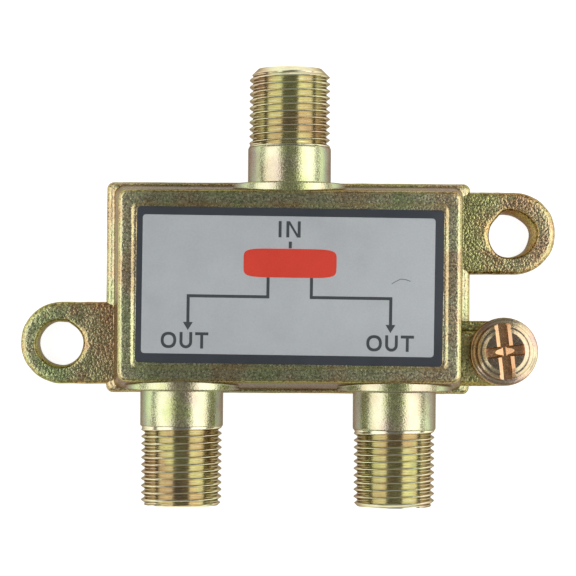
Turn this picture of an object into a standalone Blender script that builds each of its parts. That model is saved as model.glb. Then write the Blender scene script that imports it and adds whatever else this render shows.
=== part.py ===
"""Coaxial splitter: a die-cast housing with one input port, two output ports, two fixing ears and a
ground terminal, its label and back cover, and the small circuit that it shields.

The part lies on its back. +Z points out of the labelled front, the input port points along +Y, the
output ports along -Y, and the origin is the middle of the back plane. Lengths are in metres.
"""

import math

import bmesh
import bpy
from mathutils import Matrix, Vector

MM = 0.001

# Casting: rim, leaning walls and front
RIM_LENGTH = 42.0 * MM
RIM_WIDTH = 24.3 * MM
RIM_HEIGHT = 3.0 * MM
RIM_CORNER = 0.8 * MM
RIM_LEDGE_X = 0.7 * MM
RIM_LEDGE_Y = 0.2 * MM
BODY_DEPTH = 13.8 * MM
WALL_LEAN = 1.3 * MM
WALL_CORNER = 1.1 * MM
FRONT_EDGE = 0.6 * MM
WALL = 1.5 * MM
FRONT_WALL = 1.5 * MM
CAVITY_CORNER = 1.0 * MM

# Label and the shallow recess that it lies in
RECESS_LENGTH = 34.8 * MM
RECESS_WIDTH = 18.1 * MM
RECESS_DEPTH = 0.4 * MM
RECESS_CORNER = 0.6 * MM
LABEL_MARGIN = 0.3 * MM
LABEL_THICKNESS = 0.2 * MM
ADHESIVE = 0.05 * MM

# Back cover and its rebate
COVER_THICKNESS = 0.5 * MM
COVER_RECESS = 0.3 * MM
COVER_LEDGE = 0.6 * MM
COVER_CLEARANCE = 0.15 * MM

# Ports
OUTPUT_SPACING = 24.1 * MM
BOSS_RADIUS = 6.5 * MM
BOSS_DROP = 0.3 * MM
BOSS_SETBACK = 0.5 * MM
PORT_LENGTH = 13.05 * MM
COLLAR_RADIUS = 4.7 * MM
COLLAR_EDGE = 0.2 * MM
THREAD_RADIUS = 4.58 * MM
THREAD_DEPTH = 0.42 * MM
THREAD_PITCH = 0.794 * MM
BORE_RADIUS = 3.0 * MM
BORE_EDGE = 0.2 * MM
SHOULDER_RADIUS = 2.5 * MM
SHOULDER_DEPTH = 12.0 * MM

# Each port: name, place along X, direction, collar length, chamfer at the mouth
PORTS = (
    ("input", 0.0, 1, 4.2 * MM, 0.95 * MM),
    ("output_left", -OUTPUT_SPACING / 2, -1, 4.1 * MM, 0.4 * MM),
    ("output_right", OUTPUT_SPACING / 2, -1, 4.4 * MM, 0.4 * MM),
)

# Insulators, bushes and spring contacts inside the ports
INSULATOR_RECESS = 0.4 * MM
INSULATOR_LENGTH = 4.6 * MM
ENTRY_RADIUS = 0.75 * MM
ENTRY_FLARE = 0.6 * MM
SOCKET_POCKET = 1.6 * MM
BUSH_LENGTH = 3.0 * MM
SOCKET_RADIUS = 1.0 * MM
SOCKET_BORE = 0.55 * MM
SOCKET_DEPTH = 3.6 * MM
SLIT_WIDTH = 0.3 * MM
STEM_RADIUS = 0.42 * MM
STEM_REACH = 1.5 * MM
STEM_BEND = 0.8 * MM

# Fixing ears, one at each end and on opposite sides of the middle line
EAR_REACH = 30.75 * MM
EAR_WIDTH = 9.4 * MM
EAR_OFFSET = 6.45 * MM
EAR_EDGE = 0.35 * MM
EAR_HOLE_RADIUS = 2.6 * MM
EAR_HOLE_FLARE = 0.3 * MM

# Each ear: name, turn about the middle, how far its hole lies from its round end's centre
EARS = (
    ("right", 0.0, (-0.43 * MM, -0.26 * MM)),
    ("left", math.pi, (0.13 * MM, 0.1 * MM)),
)

# Ground terminal: lug, captive washer and screw
LUG_REACH = 28.3 * MM
LUG_WIDTH = 7.44 * MM
LUG_OFFSET = -7.4 * MM
LUG_HEIGHT = 5.2 * MM
LUG_SHOULDER_WIDTH = 1.1 * MM
LUG_SHOULDER_DROP = 1.0 * MM
LUG_EDGE = 0.3 * MM
SCREW_DRIFT = 0.24 * MM
SCREW_RADIUS = 1.75 * MM
SCREW_THREAD_DEPTH = 0.35 * MM
SCREW_PITCH = 0.794 * MM
SCREW_LENGTH = 6.0 * MM
HEAD_RADIUS = 3.05 * MM
HEAD_HEIGHT = 2.2 * MM
HEAD_TOP_RADIUS = 2.35 * MM
SLOT_DEPTH = 0.9 * MM
SLOT_FLOOR_WIDTH = 0.85 * MM
SLOT_MOUTH_WIDTH = 1.6 * MM
CROSS_DEPTH = 1.4 * MM
CROSS_WIDTH = 0.95 * MM
CROSS_TIP_RADIUS = 0.3 * MM
DRIVE_TURN = math.radians(6.0)
WASHER_RADIUS = 3.9 * MM
WASHER_THICKNESS = 0.8 * MM

# Circuit board and what stands on it
BOARD_THICKNESS = 1.2 * MM
BOARD_CLEARANCE = 0.3 * MM
BOARD_DROP = 1.9 * MM
POST_RADIUS = 1.6 * MM
POST_INSET = 1.2 * MM
CORE_OUTER_RADIUS = 3.0 * MM
CORE_INNER_RADIUS = 1.5 * MM
CORE_HEIGHT = 3.0 * MM
CORE_EDGE = 0.2 * MM
WIRE_RADIUS = 0.16 * MM
WIRE_CLEARANCE = 0.12 * MM
WINDING_SWEEP = math.radians(230.0)
LEAD_RADIUS = 0.25 * MM
LEAD_SPACING = 2.5 * MM
LEAD_RISE = 1.0 * MM
MATCHING_TURNS = 4
SPLITTER_TURNS = 5
RESISTOR_RADIUS = 0.95 * MM
RESISTOR_WAIST_RADIUS = 0.82 * MM
RESISTOR_LENGTH = 4.2 * MM
RESISTOR_CAP_LENGTH = 1.0 * MM
RESISTOR_EDGE = 0.3 * MM
CAPACITOR_RADIUS = 2.0 * MM
CAPACITOR_THICKNESS = 1.7 * MM

# Each wound core: name, place on the board, turns
CORES = (
    ("matching", (-4.6 * MM, 3.0 * MM), MATCHING_TURNS),
    ("splitter", (3.2 * MM, -2.2 * MM), SPLITTER_TURNS),
)

# Each capacitor: name, place on the board
CAPACITORS = (
    ("input_capacitor", (5.0 * MM, 4.6 * MM)),
    ("bridge_capacitor", (11.5 * MM, 1.0 * MM)),
)
RESISTOR_PLACE = (-4.8 * MM, -4.2 * MM)

# Gaps that seated pieces and round fits keep, and how far a cutter runs past a face
SEAT_GAP = 0.3 * MM
ROUND_CLEARANCE = 0.1 * MM
OVERRUN = 1.0 * MM
MERGE = 0.001 * MM

# Places that follow from the sizes above
BOSS_END = RIM_WIDTH / 2 - BOSS_SETBACK
PORT_END = BOSS_END + PORT_LENGTH
PORT_HEIGHT = BODY_DEPTH - BOSS_DROP - BOSS_RADIUS
RECESS_FLOOR = BODY_DEPTH - RECESS_DEPTH
CAVITY_TOP = RECESS_FLOOR - FRONT_WALL
REBATE_TOP = COVER_RECESS + COVER_THICKNESS + SEAT_GAP
BOARD_TOP = PORT_HEIGHT - BOARD_DROP
BOARD_SEAT = BOARD_TOP + SEAT_GAP
SHOULDER = PORT_END - SHOULDER_DEPTH
BUSH_FRONT = SHOULDER + SEAT_GAP + BUSH_LENGTH
INSULATOR_FRONT = PORT_END - INSULATOR_RECESS
INSULATOR_BACK = INSULATOR_FRONT - INSULATOR_LENGTH
PLUG_RADIUS = BORE_RADIUS - ROUND_CLEARANCE
WASHER_BOTTOM = LUG_HEIGHT + SEAT_GAP
SCREW_SEAT = WASHER_BOTTOM + WASHER_THICKNESS + SEAT_GAP
SCREW_CENTRE = (LUG_REACH - LUG_WIDTH / 2, LUG_OFFSET + SCREW_DRIFT)

# Segments round a full circle
PORT_STEPS = 28
HOLE_STEPS = 24
SMALL_STEPS = 16
PIN_STEPS = 10
CROSS_STEPS = 8

PARTS = "coaxial_splitter"
CUTTERS = "cutters"


def clear_scene():
    for obj in list(bpy.data.objects):
        bpy.data.objects.remove(obj, do_unlink=True)
    for collection in list(bpy.data.collections):
        bpy.data.collections.remove(collection)
    for name in (PARTS, CUTTERS):
        bpy.context.scene.collection.children.link(bpy.data.collections.new(name))


def surface(name, color, roughness, metallic=0.0):
    """A Principled material for one sub-part."""
    material = bpy.data.materials.new(name)
    material.use_nodes = True
    shader = material.node_tree.nodes["Principled BSDF"]
    shader.inputs["Base Color"].default_value = (*color, 1.0)
    shader.inputs["Roughness"].default_value = roughness
    shader.inputs["Metallic"].default_value = metallic
    material.diffuse_color = (*color, 1.0)
    return material


def plated(name):
    return surface(name, (0.56, 0.49, 0.30), 0.38, 1.0)


def white_plastic(name):
    return surface(name, (0.84, 0.84, 0.80), 0.45)


def spring_bronze(name):
    return surface(name, (0.72, 0.53, 0.25), 0.3, 1.0)


def ferrite(name):
    return surface(name, (0.07, 0.07, 0.075), 0.6)


def enamelled_wire(name):
    return surface(name, (0.48, 0.17, 0.07), 0.35, 0.6)


def ceramic(name):
    return surface(name, (0.55, 0.27, 0.08), 0.5)


def helper(name, data):
    """A cutter, or a shape that a Boolean joins, which isn't a sub-part itself."""
    obj = bpy.data.objects.new(name, data)
    bpy.data.collections[CUTTERS].objects.link(obj)
    obj.hide_render = True
    obj.display_type = "WIRE"
    return obj


def as_part(obj, material):
    """Moves a finished sub-part to the parts collection and gives it its material."""
    bpy.data.collections[CUTTERS].objects.unlink(obj)
    bpy.data.collections[PARTS].objects.link(obj)
    obj.hide_render = False
    obj.display_type = "TEXTURED"
    obj.data.materials.clear()
    obj.data.materials.append(material)


def boolean(target, other, operation):
    modifier = target.modifiers.new(f"{operation.lower()}_{other.name}", "BOOLEAN")
    modifier.operation = operation
    modifier.solver = "EXACT"
    modifier.object = other
    return target


def join(target, *others):
    for other in others:
        boolean(target, other, "UNION")
    return target


def cut(target, *others):
    for other in others:
        boolean(target, other, "DIFFERENCE")
    return target


def block(name, low, high, z_low, z_high, corner=0.0, edge=0.0, corner_steps=4, edge_steps=3):
    """A box whose half sizes change from low at z_low to high at z_high, with rounded upright
    corners and, if edge is set, a rounded upper rim."""
    bm = bmesh.new()
    bmesh.ops.create_cube(bm, size=2.0)
    for vert in bm.verts:
        half = high if vert.co.z > 0 else low
        vert.co = Vector((vert.co.x * half[0], vert.co.y * half[1], z_high if vert.co.z > 0 else z_low))
    if corner:
        upright = [e for e in bm.edges if abs(e.verts[0].co.z - e.verts[1].co.z) > MERGE]
        bmesh.ops.bevel(
            bm, geom=upright, offset=corner, segments=corner_steps, profile=0.5, affect="EDGES"
        )
    if edge:
        round_upper_rim(bm, z_high, edge, edge_steps)
    return helper(name, mesh_from(bm, name))


def round_upper_rim(bm, z_high, edge, edge_steps):
    rim = [e for e in bm.edges if all(v.co.z > z_high - MERGE for v in e.verts) and len(e.link_faces) == 2
           and min(f.normal.z for f in e.link_faces) < 0.9]
    bmesh.ops.bevel(bm, geom=rim, offset=edge, segments=edge_steps, profile=0.5, affect="EDGES")


def mesh_from(bm, name):
    bm.normal_update()
    mesh = bpy.data.meshes.new(name)
    bm.to_mesh(mesh)
    bm.free()
    return mesh


def turned(name, profile, steps, closed=False):
    """A solid turned about local Z from (radius, height) points. The outer side runs downwards, and
    a closed profile makes a ring."""
    mesh = bpy.data.meshes.new(name)
    edges = [(i, i + 1) for i in range(len(profile) - 1)]
    if closed:
        edges.append((len(profile) - 1, 0))
    mesh.from_pydata([(radius, 0.0, height) for radius, height in profile], edges, [])
    obj = helper(name, mesh)
    modifier = obj.modifiers.new("turn", "SCREW")
    modifier.axis = "Z"
    modifier.angle = math.tau
    modifier.steps = steps
    modifier.render_steps = steps
    modifier.use_merge_vertices = True
    modifier.merge_threshold = MERGE
    modifier.use_smooth_shade = True
    return obj


def evaluated_mesh(obj):
    bpy.context.view_layer.update()
    graph = bpy.context.evaluated_depsgraph_get()
    return bpy.data.meshes.new_from_object(obj.evaluated_get(graph))


def solid_of_curve(curve_object):
    """The mesh of a curve object with its caps welded, in place of the curve."""
    mesh = evaluated_mesh(curve_object)
    bm = bmesh.new()
    bm.from_mesh(mesh)
    bmesh.ops.remove_doubles(bm, verts=bm.verts, dist=MERGE)
    bmesh.ops.recalc_face_normals(bm, faces=bm.faces)
    bm.to_mesh(mesh)
    bm.free()
    obj = helper(curve_object.name + "_solid", mesh)
    obj.matrix_world = curve_object.matrix_world.copy()
    bpy.data.objects.remove(curve_object, do_unlink=True)
    return obj


def poly_curve(name, points, cyclic=False, dimensions="3D"):
    curve = bpy.data.curves.new(name, "CURVE")
    curve.dimensions = dimensions
    spline = curve.splines.new("POLY")
    spline.points.add(len(points) - 1)
    for target, point in zip(spline.points, points):
        target.co = (*point, 1.0)
    spline.use_cyclic_u = cyclic
    return helper(name, curve)


def wire(name, points, radius, resolution=1):
    obj = poly_curve(name, points)
    obj.data.bevel_depth = radius
    obj.data.bevel_resolution = resolution
    obj.data.use_fill_caps = True
    return obj


def arc(centre, radius, start, end, steps):
    """Points on an arc in the plane, both ends included."""
    angles = [start + (end - start) * i / steps for i in range(steps + 1)]
    return [(centre[0] + radius * math.cos(a), centre[1] + radius * math.sin(a)) for a in angles]


def bend(corner, before, after, radius, steps=3):
    """Points that round the corner of a wire between the directions before and after."""
    before = Vector(before)
    after = Vector(after)
    centre = Vector(corner) - before * radius + after * radius
    turns = [math.pi / 2 * i / steps for i in range(steps + 1)]
    return [centre - after * radius * math.cos(a) + before * radius * math.sin(a) for a in turns]


def tongue(name, root, reach, y_low, y_high, height, edge):
    """A flat tongue along +X with a round end, standing on the back plane, with a rounded rim."""
    radius = (y_high - y_low) / 2
    middle = (y_high + y_low) / 2
    end = arc((reach - radius, middle), radius, -math.pi / 2, math.pi / 2, HOLE_STEPS // 2)
    outline = [(root, y_low), *end, (root, y_high)]
    flat = poly_curve(name + "_outline", [(x, y, 0.0) for x, y in outline], True, "2D")
    flat.data.fill_mode = "BOTH"
    flat.data.extrude = height / 2
    flat.location.z = height / 2
    obj = solid_of_curve(flat)
    obj.name = name
    bm = bmesh.new()
    bm.from_mesh(obj.data)
    bmesh.ops.dissolve_limit(bm, angle_limit=math.radians(1.0), verts=bm.verts, edges=bm.edges)
    bm.normal_update()
    round_upper_rim(bm, height / 2, edge, 2)
    bm.to_mesh(obj.data)
    bm.free()
    return obj


def outer_half(height):
    """Half length and half width of the leaning outer wall at a height above the back plane."""
    lean = WALL_LEAN * height / BODY_DEPTH
    return (RIM_LENGTH / 2 - RIM_LEDGE_X - lean, RIM_WIDTH / 2 - RIM_LEDGE_Y - lean)


def cavity_half(height):
    return tuple(half - WALL for half in outer_half(height))


def widened(half, margin):
    return tuple(value + margin for value in half)


def port_matrix(place, direction):
    """Turns local +Z along the port, with the port's axis through its place."""
    turn = Matrix.Rotation(-direction * math.pi / 2, 4, "X")
    return Matrix.Translation((place, 0.0, PORT_HEIGHT)) @ turn


def port_casting(name, collar_length, chamfer):
    """A port's boss, collar and threaded barrel. The thread is a row of ridges at its pitch."""
    collar_end = BOSS_END + collar_length
    inner = cavity_half(BODY_DEPTH)[1]
    root = THREAD_RADIUS - THREAD_DEPTH
    turns = int((PORT_END - chamfer - collar_end) / THREAD_PITCH)
    chamfer_end = PORT_END - chamfer + THREAD_DEPTH
    profile = [(0.0, PORT_END), (THREAD_RADIUS - chamfer, PORT_END), (root, chamfer_end)]
    for turn in reversed(range(turns)):
        low = collar_end + turn * THREAD_PITCH
        profile += [(THREAD_RADIUS, low + THREAD_PITCH / 2), (root, low)]
    profile += [
        (COLLAR_RADIUS - COLLAR_EDGE, collar_end),
        (COLLAR_RADIUS, collar_end - COLLAR_EDGE),
        (COLLAR_RADIUS, BOSS_END),
        (BOSS_RADIUS, BOSS_END),
        (BOSS_RADIUS, inner),
        (0.0, inner),
    ]
    return turned(name, profile, PORT_STEPS)


def port_bore(name):
    mouth = BORE_RADIUS + BORE_EDGE
    inner = cavity_half(0.0)[1] - WALL_LEAN - OVERRUN
    profile = [
        (0.0, PORT_END + OVERRUN),
        (mouth, PORT_END + OVERRUN),
        (mouth, PORT_END),
        (BORE_RADIUS, PORT_END - BORE_EDGE),
        (BORE_RADIUS, SHOULDER),
        (SHOULDER_RADIUS, SHOULDER),
        (SHOULDER_RADIUS, inner),
        (0.0, inner),
    ]
    return turned(name, profile, PORT_STEPS)


def ear(name, turn):
    """A fixing ear whose root lies inside the wall, turned about the middle of the part."""
    obj = tongue(
        name,
        cavity_half(0.0)[0],
        EAR_REACH,
        EAR_OFFSET - EAR_WIDTH / 2,
        EAR_OFFSET + EAR_WIDTH / 2,
        RIM_HEIGHT,
        EAR_EDGE,
    )
    obj.matrix_world = Matrix.Rotation(turn, 4, "Z") @ obj.matrix_world
    return obj


def ear_hole(name, turn, drift):
    flared = EAR_HOLE_RADIUS + EAR_HOLE_FLARE
    obj = turned(
        name,
        [
            (0.0, RIM_HEIGHT + OVERRUN),
            (flared, RIM_HEIGHT + OVERRUN),
            (flared, RIM_HEIGHT),
            (EAR_HOLE_RADIUS, RIM_HEIGHT - EAR_HOLE_FLARE),
            (EAR_HOLE_RADIUS, -OVERRUN),
            (0.0, -OVERRUN),
        ],
        HOLE_STEPS,
    )
    place = (EAR_REACH - EAR_WIDTH / 2 + drift[0], EAR_OFFSET + drift[1], 0.0)
    obj.matrix_world = Matrix.Rotation(turn, 4, "Z") @ Matrix.Translation(place)
    return obj


def lug_shapes():
    """The ground lug: a tongue, and the pad under the washer, which stops short of its upper side."""
    root = cavity_half(0.0)[0]
    low = LUG_OFFSET - LUG_WIDTH / 2
    high = LUG_OFFSET + LUG_WIDTH / 2
    base = tongue("lug_base", root, LUG_REACH, low, high, LUG_HEIGHT - LUG_SHOULDER_DROP, LUG_EDGE)
    pad_high = high - LUG_SHOULDER_WIDTH
    pad = tongue("lug_pad", root, LUG_REACH - LUG_EDGE, low + LUG_EDGE, pad_high, LUG_HEIGHT, LUG_EDGE)
    return base, pad


def screw_hole():
    radius = SCREW_RADIUS + ROUND_CLEARANCE
    obj = turned(
        "screw_hole",
        [
            (0.0, LUG_HEIGHT + OVERRUN),
            (radius, LUG_HEIGHT + OVERRUN),
            (radius, -OVERRUN),
            (0.0, -OVERRUN),
        ],
        HOLE_STEPS,
    )
    obj.location = (*SCREW_CENTRE, 0.0)
    return obj


def board_posts():
    """Cast posts in the cavity's corners, which the board is pressed against."""
    half = widened(cavity_half(CAVITY_TOP), -POST_INSET)
    top = CAVITY_TOP + FRONT_WALL / 2
    posts = []
    for side_x in (-1, 1):
        for side_y in (-1, 1):
            post = turned(
                f"post_{side_x}_{side_y}",
                [(0.0, top), (POST_RADIUS, top), (POST_RADIUS, BOARD_SEAT), (0.0, BOARD_SEAT)],
                SMALL_STEPS,
            )
            post.location = (side_x * half[0], side_y * half[1], 0.0)
            posts.append(post)
    return posts


def housing():
    """The whole casting, open at the back, with its ports, ears and ground lug in one piece."""
    rim_half = (RIM_LENGTH / 2, RIM_WIDTH / 2)
    body = block("housing", rim_half, rim_half, 0.0, RIM_HEIGHT, RIM_CORNER, EAR_EDGE, edge_steps=2)
    middle = RIM_HEIGHT / 2
    join(
        body,
        block(
            "walls", outer_half(middle), outer_half(BODY_DEPTH), middle, BODY_DEPTH, WALL_CORNER, FRONT_EDGE
        ),
        *(ear("ear_" + name, turn) for name, turn, _ in EARS),
        *lug_shapes(),
    )
    bores = []
    for name, place, direction, collar_length, chamfer in PORTS:
        casting = port_casting(name + "_casting", collar_length, chamfer)
        bore = port_bore(name + "_bore")
        for shape in (casting, bore):
            shape.matrix_world = port_matrix(place, direction)
        join(body, casting)
        bores.append(bore)
    rebate_half = widened(cavity_half(0.0), COVER_LEDGE)
    recess_half = (RECESS_LENGTH / 2, RECESS_WIDTH / 2)
    cut(
        body,
        block("cavity", cavity_half(0.0), cavity_half(CAVITY_TOP), -OVERRUN, CAVITY_TOP, CAVITY_CORNER),
        block("rebate", rebate_half, rebate_half, -OVERRUN, REBATE_TOP, CAVITY_CORNER),
        block("recess", recess_half, recess_half, RECESS_FLOOR, BODY_DEPTH + OVERRUN, RECESS_CORNER),
        *bores,
        *(ear_hole("ear_hole_" + name, turn, drift) for name, turn, drift in EARS),
        screw_hole(),
    )
    join(body, *board_posts())
    as_part(body, plated("housing_plating"))


def label():
    half = (RECESS_LENGTH / 2 - LABEL_MARGIN, RECESS_WIDTH / 2 - LABEL_MARGIN)
    low = RECESS_FLOOR + ADHESIVE
    obj = block("label", half, half, low, low + LABEL_THICKNESS, RECESS_CORNER - LABEL_MARGIN / 2)
    as_part(obj, surface("label_foil", (0.60, 0.60, 0.62), 0.5, 0.2))


def back_cover():
    half = widened(cavity_half(0.0), COVER_LEDGE - COVER_CLEARANCE)
    obj = block(
        "back_cover", half, half, COVER_RECESS, COVER_RECESS + COVER_THICKNESS, CAVITY_CORNER
    )
    as_part(obj, surface("cover_tin", (0.66, 0.66, 0.65), 0.35, 1.0))


def insulator(name):
    """The plastic plug at a port's mouth, with a flared entry and a pocket for the contact."""
    pocket = SOCKET_RADIUS + ROUND_CLEARANCE
    profile = [
        (ENTRY_RADIUS + ENTRY_FLARE, INSULATOR_FRONT),
        (PLUG_RADIUS, INSULATOR_FRONT),
        (PLUG_RADIUS, INSULATOR_BACK),
        (pocket, INSULATOR_BACK),
        (pocket, INSULATOR_BACK + SOCKET_POCKET),
        (ENTRY_RADIUS, INSULATOR_BACK + SOCKET_POCKET),
        (ENTRY_RADIUS, INSULATOR_FRONT - ENTRY_FLARE),
    ]
    return turned(name, profile, PORT_STEPS, closed=True)


def bush(name):
    """The inner plastic ring, which carries the contact's stem against the bore's shoulder."""
    hole = STEM_RADIUS + ROUND_CLEARANCE
    back = SHOULDER + SEAT_GAP
    profile = [(hole, BUSH_FRONT), (PLUG_RADIUS, BUSH_FRONT), (PLUG_RADIUS, back), (hole, back)]
    return turned(name, profile, PORT_STEPS, closed=True)


def socket(name):
    """The contact's slit spring socket, open towards the port's mouth."""
    front = INSULATOR_BACK + SOCKET_POCKET - SEAT_GAP
    back = BUSH_FRONT + SEAT_GAP
    floor = front - SOCKET_DEPTH
    profile = [
        (0.0, floor),
        (SOCKET_BORE, floor),
        (SOCKET_BORE, front),
        (SOCKET_RADIUS, front),
        (SOCKET_RADIUS, back),
        (0.0, back),
    ]
    slit = block(
        name + "_slit",
        (SLIT_WIDTH / 2, SOCKET_RADIUS * 2),
        (SLIT_WIDTH / 2, SOCKET_RADIUS * 2),
        floor + SOCKET_BORE,
        front + OVERRUN,
    )
    return turned(name, profile, PIN_STEPS), slit


def contact_stem(name, place, direction):
    """The contact's stem: through the bush and the wall, then down to the board."""
    inner = direction * (cavity_half(PORT_HEIGHT)[1] - STEM_REACH)
    start = direction * (BUSH_FRONT + SEAT_GAP + SOCKET_RADIUS)
    turn = bend((place, inner, PORT_HEIGHT), (0.0, -direction, 0.0), (0.0, 0.0, -1.0), STEM_BEND)
    points = [Vector((place, start, PORT_HEIGHT)), *turn, Vector((place, inner, BOARD_SEAT))]
    return solid_of_curve(wire(name, points, STEM_RADIUS))


def port_fittings():
    for name, place, direction, _, _ in PORTS:
        matrix = port_matrix(place, direction)
        plug = insulator(name + "_insulator")
        ring = bush(name + "_bush")
        contact, slit = socket(name + "_contact")
        for obj in (plug, ring, contact, slit):
            obj.matrix_world = matrix
        join(contact, contact_stem(name + "_stem", place, direction))
        cut(contact, slit)
        as_part(plug, white_plastic(name + "_insulator_plastic"))
        as_part(ring, white_plastic(name + "_bush_plastic"))
        as_part(contact, spring_bronze(name + "_contact_bronze"))


def screw_profile():
    """Head, threaded shank and tip of the ground screw, with heights above the head's seat."""
    root = SCREW_RADIUS - SCREW_THREAD_DEPTH
    shoulder = HEAD_RADIUS - HEAD_TOP_RADIUS
    round_side = arc((HEAD_TOP_RADIUS, HEAD_HEIGHT - shoulder), shoulder, math.pi / 2, 0.0, 4)
    turns = int(SCREW_LENGTH / SCREW_PITCH) - 1
    profile = [(0.0, HEAD_HEIGHT), *round_side, (HEAD_RADIUS, 0.0), (root, 0.0)]
    for turn in range(turns):
        top = -(turn + 0.5) * SCREW_PITCH
        profile += [(root, top), (SCREW_RADIUS, top - SCREW_PITCH / 2)]
    profile += [(root, -(turns + 0.5) * SCREW_PITCH), (root / 2, -SCREW_LENGTH), (0.0, -SCREW_LENGTH)]
    return profile


def drive_cutters():
    """The full-length slot, and the cross whose centre goes deeper."""
    top = HEAD_HEIGHT + OVERRUN
    slope = (SLOT_MOUTH_WIDTH - SLOT_FLOOR_WIDTH) / 2 / SLOT_DEPTH
    mouth = SLOT_MOUTH_WIDTH / 2 + slope * OVERRUN
    reach = HEAD_RADIUS + OVERRUN
    slot = block(
        "drive_slot", (SLOT_FLOOR_WIDTH / 2, reach), (mouth, reach), HEAD_HEIGHT - SLOT_DEPTH, top
    )
    wing = block(
        "drive_wing",
        (HEAD_TOP_RADIUS / 2, CROSS_WIDTH / 2),
        (HEAD_TOP_RADIUS, CROSS_WIDTH / 2),
        HEAD_HEIGHT - SLOT_DEPTH,
        top,
    )
    centre = turned(
        "drive_centre",
        [
            (0.0, top),
            (CROSS_WIDTH, top),
            (CROSS_WIDTH, HEAD_HEIGHT - SLOT_DEPTH / 2),
            (CROSS_TIP_RADIUS, HEAD_HEIGHT - CROSS_DEPTH),
            (0.0, HEAD_HEIGHT - CROSS_DEPTH),
        ],
        CROSS_STEPS,
    )
    return slot, wing, centre


def ground_screw():
    screw = turned("ground_screw", screw_profile(), HOLE_STEPS)
    cutters = drive_cutters()
    place = Matrix.Translation((*SCREW_CENTRE, SCREW_SEAT)) @ Matrix.Rotation(DRIVE_TURN, 4, "Z")
    for obj in (screw, *cutters):
        obj.matrix_world = place
    cut(screw, *cutters)
    as_part(screw, plated("screw_plating"))


def ground_washer():
    hole = SCREW_RADIUS + ROUND_CLEARANCE
    edge = WASHER_THICKNESS / 4
    top = WASHER_BOTTOM + WASHER_THICKNESS
    profile = [
        (hole, top),
        (WASHER_RADIUS - edge, top),
        (WASHER_RADIUS, top - edge),
        (WASHER_RADIUS, WASHER_BOTTOM + edge),
        (WASHER_RADIUS - edge, WASHER_BOTTOM),
        (hole, WASHER_BOTTOM),
    ]
    washer = turned("ground_washer", profile, HOLE_STEPS, closed=True)
    washer.location = (*SCREW_CENTRE, 0.0)
    as_part(washer, plated("washer_plating"))


def circuit_board():
    half = widened(cavity_half(BOARD_TOP), -BOARD_CLEARANCE)
    obj = block("circuit_board", half, half, BOARD_TOP - BOARD_THICKNESS, BOARD_TOP, CAVITY_CORNER)
    as_part(obj, surface("board_laminate", (0.45, 0.31, 0.14), 0.5))


def core(name, place):
    """A ferrite ring lying on its winding."""
    low = BOARD_SEAT + 2 * WIRE_RADIUS + WIRE_CLEARANCE
    high = low + CORE_HEIGHT
    profile = [
        (CORE_INNER_RADIUS, high),
        (CORE_OUTER_RADIUS - CORE_EDGE, high),
        (CORE_OUTER_RADIUS, high - CORE_EDGE),
        (CORE_OUTER_RADIUS, low + CORE_EDGE),
        (CORE_OUTER_RADIUS - CORE_EDGE, low),
        (CORE_INNER_RADIUS, low),
    ]
    obj = turned(name + "_core", profile, HOLE_STEPS, closed=True)
    obj.location = (*place, 0.0)
    as_part(obj, ferrite(name + "_ferrite"))


def winding(name, place, turns):
    """Wire wound through the ring, with both ends brought down to the board outside it."""
    spread = WIRE_RADIUS + WIRE_CLEARANCE
    inner = CORE_INNER_RADIUS - spread
    outer = CORE_OUTER_RADIUS + spread
    low = BOARD_SEAT + WIRE_RADIUS
    high = low + CORE_HEIGHT + 2 * spread
    middle = (low + high) / 2
    loop = [(outer, middle), (outer, high), (inner, high), (inner, low), (outer, low)]
    count = turns * len(loop)
    points = []
    for index in range(count + 2):
        radius, height = loop[index % len(loop)]
        angle = WINDING_SWEEP * index / count
        points.append((radius * math.cos(angle), radius * math.sin(angle), height))
    foot = outer + 2 * WIRE_RADIUS
    lead_in = (foot, -2 * WIRE_RADIUS)
    turn = WINDING_SWEEP * (count + 2) / count
    lead_out = (foot * math.cos(turn), foot * math.sin(turn))
    path = [
        (*lead_in, BOARD_SEAT),
        (*lead_in, points[0][2]),
        *points,
        (*lead_out, points[-1][2]),
        (*lead_out, BOARD_SEAT),
    ]
    obj = wire(name + "_winding", path, WIRE_RADIUS)
    obj.location = (*place, 0.0)
    as_part(obj, enamelled_wire(name + "_enamel"))


def isolation_resistor():
    """An axial resistor lying on the board, with both leads bent down to it."""
    x, y = RESISTOR_PLACE
    height = BOARD_SEAT + RESISTOR_RADIUS
    half = RESISTOR_LENGTH / 2
    upper = [
        (0.0, half),
        (RESISTOR_RADIUS - RESISTOR_EDGE, half),
        (RESISTOR_RADIUS, half - RESISTOR_EDGE),
        (RESISTOR_RADIUS, half - RESISTOR_CAP_LENGTH),
        (RESISTOR_WAIST_RADIUS, half - RESISTOR_CAP_LENGTH - RESISTOR_EDGE),
    ]
    lower = [(radius, -along) for radius, along in reversed(upper)]
    body = turned("isolation_resistor", upper + lower, SMALL_STEPS)
    body.matrix_world = Matrix.Translation((x, y, height)) @ Matrix.Rotation(math.pi / 2, 4, "Y")
    foot = half + LEAD_RISE
    right = bend((x + foot, y, height), (1, 0, 0), (0, 0, -1), 2 * LEAD_RADIUS)
    left = bend((x - foot, y, height), (-1, 0, 0), (0, 0, -1), 2 * LEAD_RADIUS)
    path = [(x - foot, y, BOARD_SEAT), *reversed(left), *right, (x + foot, y, BOARD_SEAT)]
    join(body, solid_of_curve(wire("resistor_lead", path, LEAD_RADIUS)))
    as_part(body, surface("resistor_lacquer", (0.62, 0.52, 0.36), 0.4))


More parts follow.
